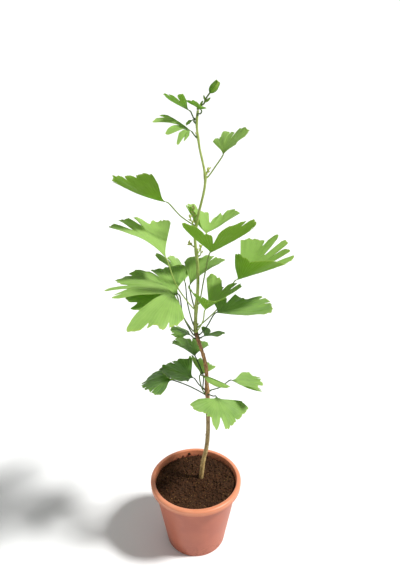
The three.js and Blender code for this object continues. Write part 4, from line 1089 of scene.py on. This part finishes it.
def rolled_body(path, along, seed):
    """The wrapped blade of the rolled young leaf: an egg-shaped body whose ring radius falls
    round the turn by WRAP_STEP, so that a free edge stands over the inner wrap. Deep furrows,
    the absolute value of a sine, part its lobes, whose tips stand up in points round the top.
    Past the top the rings go on down inside it, ever narrower, and close the hollow."""
    outer, inner = ROLLED_OUTER_RINGS, ROLLED_INNER_RINGS
    share = np.concatenate([np.linspace(0, 0.82, outer), np.linspace(0.8, 0.4, inner)])
    sink = np.concatenate([np.ones(outer), np.linspace(0.84, 0.3, inner)])
    ring_place = along[-1] - ROLLED_LEAF_LENGTH + share * ROLLED_LEAF_LENGTH
    place = np.stack([np.interp(ring_place, along, path[:, k]) for k in range(3)], axis=1)
    body = np.sqrt(np.sin(np.pi * np.clip(np.linspace(0.015, 0.88, outer) ** 1.1, 0, 1)))
    body = np.concatenate([body, np.full(inner, body[-1])]) * sink
    turn = np.linspace(0, 1, ROLLED_SIDES, endpoint=False)
    climb = np.clip(share[:, None] * 1.6, 0, 1)
    wrap = 1 - WRAP_STEP * turn[None, :] * climb
    lobe = np.abs(np.sin(np.pi * ROLLED_LOBES * turn))[None, :]
    furrows = 1 - FURROW_DEPTH * (1 - lobe) ** 2 * climb ** 2
    ribs = 1 + 0.015 * np.cos(2 * np.pi * 32 * turn)[None, :]
    radius = ROLLED_BODY_SHARE * ROLLED_LEAF_DIAMETER / 2 * body[:, None] * wrap * furrows * ribs
    grid = rings(place, np.maximum(radius, 0.5), ROLLED_SIDES)
    axis = unit(path[-1] - path[-30])
    points = LOBE_TIP_RISE * lobe ** 1.5 * np.clip((share[:, None] - 0.5) / 0.32, 0, 1) ** 2
    uneven = 0.5 * noise(grid, 4.0, seed) * climb
    grid = grid + axis * (points + uneven)[..., None]
    near_slit = np.clip(1.6 - 9 * turn, 0, 1)[None, :] * climb
    outside = (np.arange(len(share)) < outer)[:, None]
    margin = np.clip((share[:, None] - 0.74) / 0.08, 0, 1) * outside
    ray = np.tile(turn * 150, len(share))
    out = np.repeat(6 + share * 24, ROLLED_SIDES)
    marks = {
        "ray": np.concatenate([ray, [0, 0]]), "radius": np.concatenate([out, [6, 30]]),
        "share": np.concatenate([np.maximum(near_slit, margin).ravel(), [0, 1]]),
        "lower": np.concatenate([(1 - near_slit).ravel(), [1, 1]]),
        "tone": np.concatenate([(0.4 + near_slit).ravel(), [0.4, 0.4]]),
    }
    return closed_tube(grid, **marks)


def rolled_shape(seed):
    """The rolled young leaf on its stalk, a tube thickened at its foot by a bell curve, with
    a few leaflets that stand off it."""
    foot = stem_point(STEM_ROUTE[-1, 2]) + [0, 0, CLEARANCE]
    path = spline(np.vstack([foot, foot + ROLLED_LEAF_ROUTE]), 140)
    along = np.linspace(0, path_length(path), len(path))
    stem = path[along < along[-1] - ROLLED_LEAF_LENGTH + 2.5]
    thick = STALK_DIAMETER / 2 * (1.25 + 0.8 * np.exp(-(np.linspace(0, 9, len(stem)) / 1.6) ** 2))
    stalk = closed_tube(rings(stem, thick, STALK_SIDES), stalk=1, tone=0.62)
    leaflets = [
        closed_tube(scale_shape(path, at, side, reach, reach / 3), ray=0, radius=9,
                    share=0.5, lower=1, tone=0.6)
        for at, side, reach in ROLLED_LEAFLETS]
    return joined([rolled_body(path, along, seed), stalk, *leaflets])


# ---------------------------------------------------------------- soil


def soil_height(x, y):
    """Height of the soil's surface: shallow hollows, lumps and crumbs, banked up by a
    smoothstep of the distance towards the pot's wall, except at the back."""
    place = np.stack([x, y, 0 * x], axis=-1)
    broad, middling, small, fine = PEAT_LUMPS
    lumps = broad * noise(place, 17, 21) + middling * noise(place, 6.5, 22)
    crumbs = small * noise(place, 2.6, 23) + fine * noise(place, 1.3, 24)
    far = np.clip((np.hypot(x, y) - 22) / 34, 0, 1)
    bank = PEAT_BANK * far * far * (3 - 2 * far) * np.clip(0.95 - y / 60, 0, 1)
    return SOIL_TOP + lumps + crumbs + bank


def soil_shape():
    """The ball of soil: a profile turned about the pot's axis for its underside and wall, and
    a polar grid of the soil's height on top, which meets the pot's inner wall."""
    columns = PEAT_COLUMNS
    edge = inside_radius(SOIL_TOP - 1) - 0.1
    bottom = POT_FLOOR + CLEARANCE
    side = [[0.5, bottom], [inside_radius(bottom) - CLEARANCE, bottom]]
    side += [[inside_radius(z) - CLEARANCE, z] for z in (30, 60, 88)]
    top = edge * np.sqrt(np.linspace(1, 0.0001, PEAT_ROWS))
    angle = np.linspace(0, 2 * np.pi, columns, endpoint=False)
    radius = np.concatenate([[r for r, _ in side], top])[:, None]
    x, y = radius * np.cos(angle), radius * np.sin(angle)
    below = np.repeat([[h] for _, h in side], columns, axis=1)
    z = np.vstack([below, soil_height(x[len(side):], y[len(side):])])
    return closed_tube(np.stack([x, y, z], axis=-1), tone=0)


def equal_tubes(grids, ends, tone):
    """Many closed tubes as one shape: each one's grid of points and its two end points, and
    the faces of a single tube, moved on by its number of points for each further one."""
    count, rows, sides = grids.shape[:3]
    each = rows * sides + 2
    vertices = np.concatenate([grids.reshape(count, rows * sides, 3), ends], axis=1)
    first = (np.arange(count) * each)[:, None, None]
    single = closed_tube(np.zeros((rows, sides, 3)))["faces"]
    faces = [(face[None] + first).reshape(-1, face.shape[1]) for face in single]
    return solid(vertices.reshape(-1, 3), faces, tone=np.repeat(tone, each))


def crumb_shapes():
    """Loose crumbs and bark chips: one small knobbly ball of rings, copied as whole arrays to
    many places, each turned, stretched, roughened and sunk to a third."""
    draw = np.random.default_rng(5)
    count, rows, sides = CRUMBS, CRUMB_ROWS, CRUMB_SIDES
    v = np.linspace(0.12, np.pi - 0.12, rows)[:, None]
    u = np.linspace(0, 2 * np.pi, sides, endpoint=False)[None, :]
    ball = np.stack([np.sin(v) * np.cos(u), np.sin(v) * np.sin(u), np.cos(v) + 0 * u], axis=-1)
    spin = np.linalg.qr(draw.normal(size=(count, 3, 3)))[0]
    size = 0.32 + 1.7 * draw.random(count) ** 5
    stretch = draw.uniform(0.5, 1.35, (count, 3)) * size[:, None]
    far = np.sqrt(draw.random(count)) * (inside_radius(SOIL_TOP) - 1.5)
    way = draw.uniform(0, 2 * np.pi, count)
    x, y = far * np.cos(way), far * np.sin(way)
    z = soil_height(x, y) + size * 0.25
    # Some crumbs cling to the far inner wall above the soil.
    clinging = np.arange(count) < CRUMBS_ON_WALL
    z = np.where(clinging, SOIL_TOP + 5.5 * draw.random(count) ** 2, z)
    wall = inside_radius(z) - size * 0.35
    back = np.pi / 2 + draw.normal(0, 0.55, count)
    x = np.where(clinging, wall * np.cos(back), x)
    y = np.where(clinging, wall * np.sin(back), y)
    rough = 1 + 0.28 * draw.uniform(-1, 1, (count, rows, sides, 1))
    local = ball[None] * rough * stretch[:, None, None, :]
    placed = np.einsum("nab,nijb->nija", spin, local) + np.stack([x, y, z], -1)[:, None, None]
    pale = (draw.random(count) < 0.2) & (size < 0.8)
    tone = np.where(pale, draw.uniform(0.7, 0.95, count), 0.4 * draw.random(count))
    crumbs = equal_tubes(placed, placed[:, [0, -1]].mean(axis=2), tone)
    # The ball's rings run from its top down, so its faces are turned round.
    crumbs["faces"] = [face[:, ::-1] for face in crumbs["faces"]]
    return crumbs


def fibre_shapes():
    """Peat fibres: thin four-sided bars on shallow arcs, copied as whole arrays. A fibre's
    middle line is a straight step along one way plus the square of the share across it."""
    draw = np.random.default_rng(11)
    count, steps, sides = FIBRES, FIBRE_STEPS, FIBRE_SIDES
    share = np.linspace(-0.5, 0.5, steps)
    far = np.sqrt(draw.random(count)) * (inside_radius(SOIL_TOP) - 6)
    way = draw.uniform(0, 2 * np.pi, count)
    x, y = far * np.cos(way), far * np.sin(way)
    heading = draw.uniform(0, np.pi, count)
    tilt = draw.uniform(-0.25, 0.35, count)
    along = np.stack([np.cos(heading), np.sin(heading), tilt], axis=1)
    across = np.stack([-np.sin(heading), np.cos(heading), 0 * heading], axis=1)
    length = draw.uniform(3, 9, count)
    bow = draw.uniform(-1, 1, count) * length
    line = along[:, None] * (share * length[:, None])[..., None]
    line = line + across[:, None] * (share ** 2 * bow[:, None])[..., None]
    line = line + np.stack([x, y, soil_height(x, y) + 0.8], axis=1)[:, None]
    thick = draw.uniform(0.14, 0.34, count)[:, None, None, None]
    u = np.linspace(0, 2 * np.pi, sides, endpoint=False)[None, None, :, None]
    round_it = np.cos(u) * across[:, None, None] + np.sin(u) * np.array([0, 0, 1.0])
    grid = line[:, :, None] + round_it * thick
    return equal_tubes(grid, line[:, [0, -1]], draw.uniform(0.25, 0.8, count))


# ---------------------------------------------------------------- the finished pieces

plastic = moulded_polypropylene()
peat = peat_mix()
bark = ginkgo_bark()
green = green_bark("shoot_skin", "#8A9E48", "#BCCB74")
twig_green = green_bark("twig_skin", "#869B42", "#AEC263")
mature = ginkgo_leaf("ginkgo_leaf", "#38742F", "#B2D676", "#7CA22C", "#B6E236")
tender = ginkgo_leaf("young_ginkgo_leaf", "#64943A", "#A0C850", "#7CA830", "#BCE838")

make_piece("nursery_pot", pot_shape(), plastic, "pot", "pot", sharp=50, weld=True)
make_piece("peat_surface", soil_shape(), peat, "soil", "potting_soil")
make_piece("peat_crumbs", joined([crumb_shapes(), fibre_shapes()]), peat, "soil")
make_piece("stem_wood", woody_shape(), bark, "bark", "woody_stem")
make_piece("stem_shoot", shoot_shape(), green, "shoot", "green_shoot")
for row in TWIGS:
    make_piece(row["name"] + "_fine", twig_shape(row), twig_green, "twig", row["name"])
for number, row in enumerate(LEAVES):
    young = row["name"].startswith("leaf_young")
    shape = leaf_shape(row, 100 + 10 * number)
    skin, slot = (tender, "young_leaf") if young else (mature, "leaf")
    make_piece(row["name"] + "_fine", shape, skin, slot, row["name"], sharp=60)
make_piece("leaf_rolled_fine", rolled_shape(77), tender, "young_leaf", "leaf_rolled_tip", sharp=60)

# ---------------------------------------------------------------- floor, light and camera

# The pale board lies flat under the pot and slopes up from 3 m behind it. Its sizes are metres.
floor_mesh = bpy.data.meshes.new("studio_floor")
board_side, near_edge, fold, far_edge, far_height = 12, -6, 3, 9, 5
rows_of_corners = [(near_edge, 0), (fold, 0), (far_edge, far_height)]
floor_corners = [(x, y, z) for y, z in rows_of_corners for x in (-board_side, board_side)]
floor_mesh.from_pydata(floor_corners, [], [(0, 1, 3, 2), (2, 3, 5, 4)])
floor_mesh.materials.append(painted_board())
studio_floor = bpy.data.objects.new("studio_floor", floor_mesh)
bpy.context.scene.collection.objects.link(studio_floor)

# A broad lamp far off to the upper right lights everything alike, with soft-edged shadows.
sun_data = bpy.data.lights.new("key_light", "SUN")
sun_data.energy = SUN_STRENGTH
sun_data.angle = np.radians(SUN_WIDTH)
sun = bpy.data.objects.new("key_light", sun_data)
sun.rotation_euler = Vector(SUN_WAY).to_track_quat("-Z", "Y").to_euler()
bpy.context.scene.collection.objects.link(sun)

# The studio walls are white where they are seen and give a dimmer light all round.
world = bpy.data.worlds.new("studio")
world.use_nodes = True
walls = world.node_tree
seen = add(walls, "LightPath", {}, {}, "Is Camera Ray")
level = add(walls, "MapRange", {}, [seen, 0.0, 1.0, ROOM_LIGHT, 1.0])
walls.nodes["Background"].inputs["Color"].default_value = colour("#FBFCFD")
walls.links.new(level, walls.nodes["Background"].inputs["Strength"])
bpy.context.scene.world = world
bpy.context.scene.view_settings.view_transform = "Standard"

camera_data = bpy.data.cameras.new("camera")
camera_data.lens = LENS
camera_data.sensor_width = SENSOR_WIDTH
camera_data.shift_y = VIEW_SHIFT
camera = bpy.data.objects.new("camera", camera_data)
camera.location = CAMERA_PLACE
camera.rotation_euler = (np.radians(90 - CAMERA_LOOKS_DOWN), 0, 0)
bpy.context.scene.collection.objects.link(camera)
bpy.context.scene.camera = camera
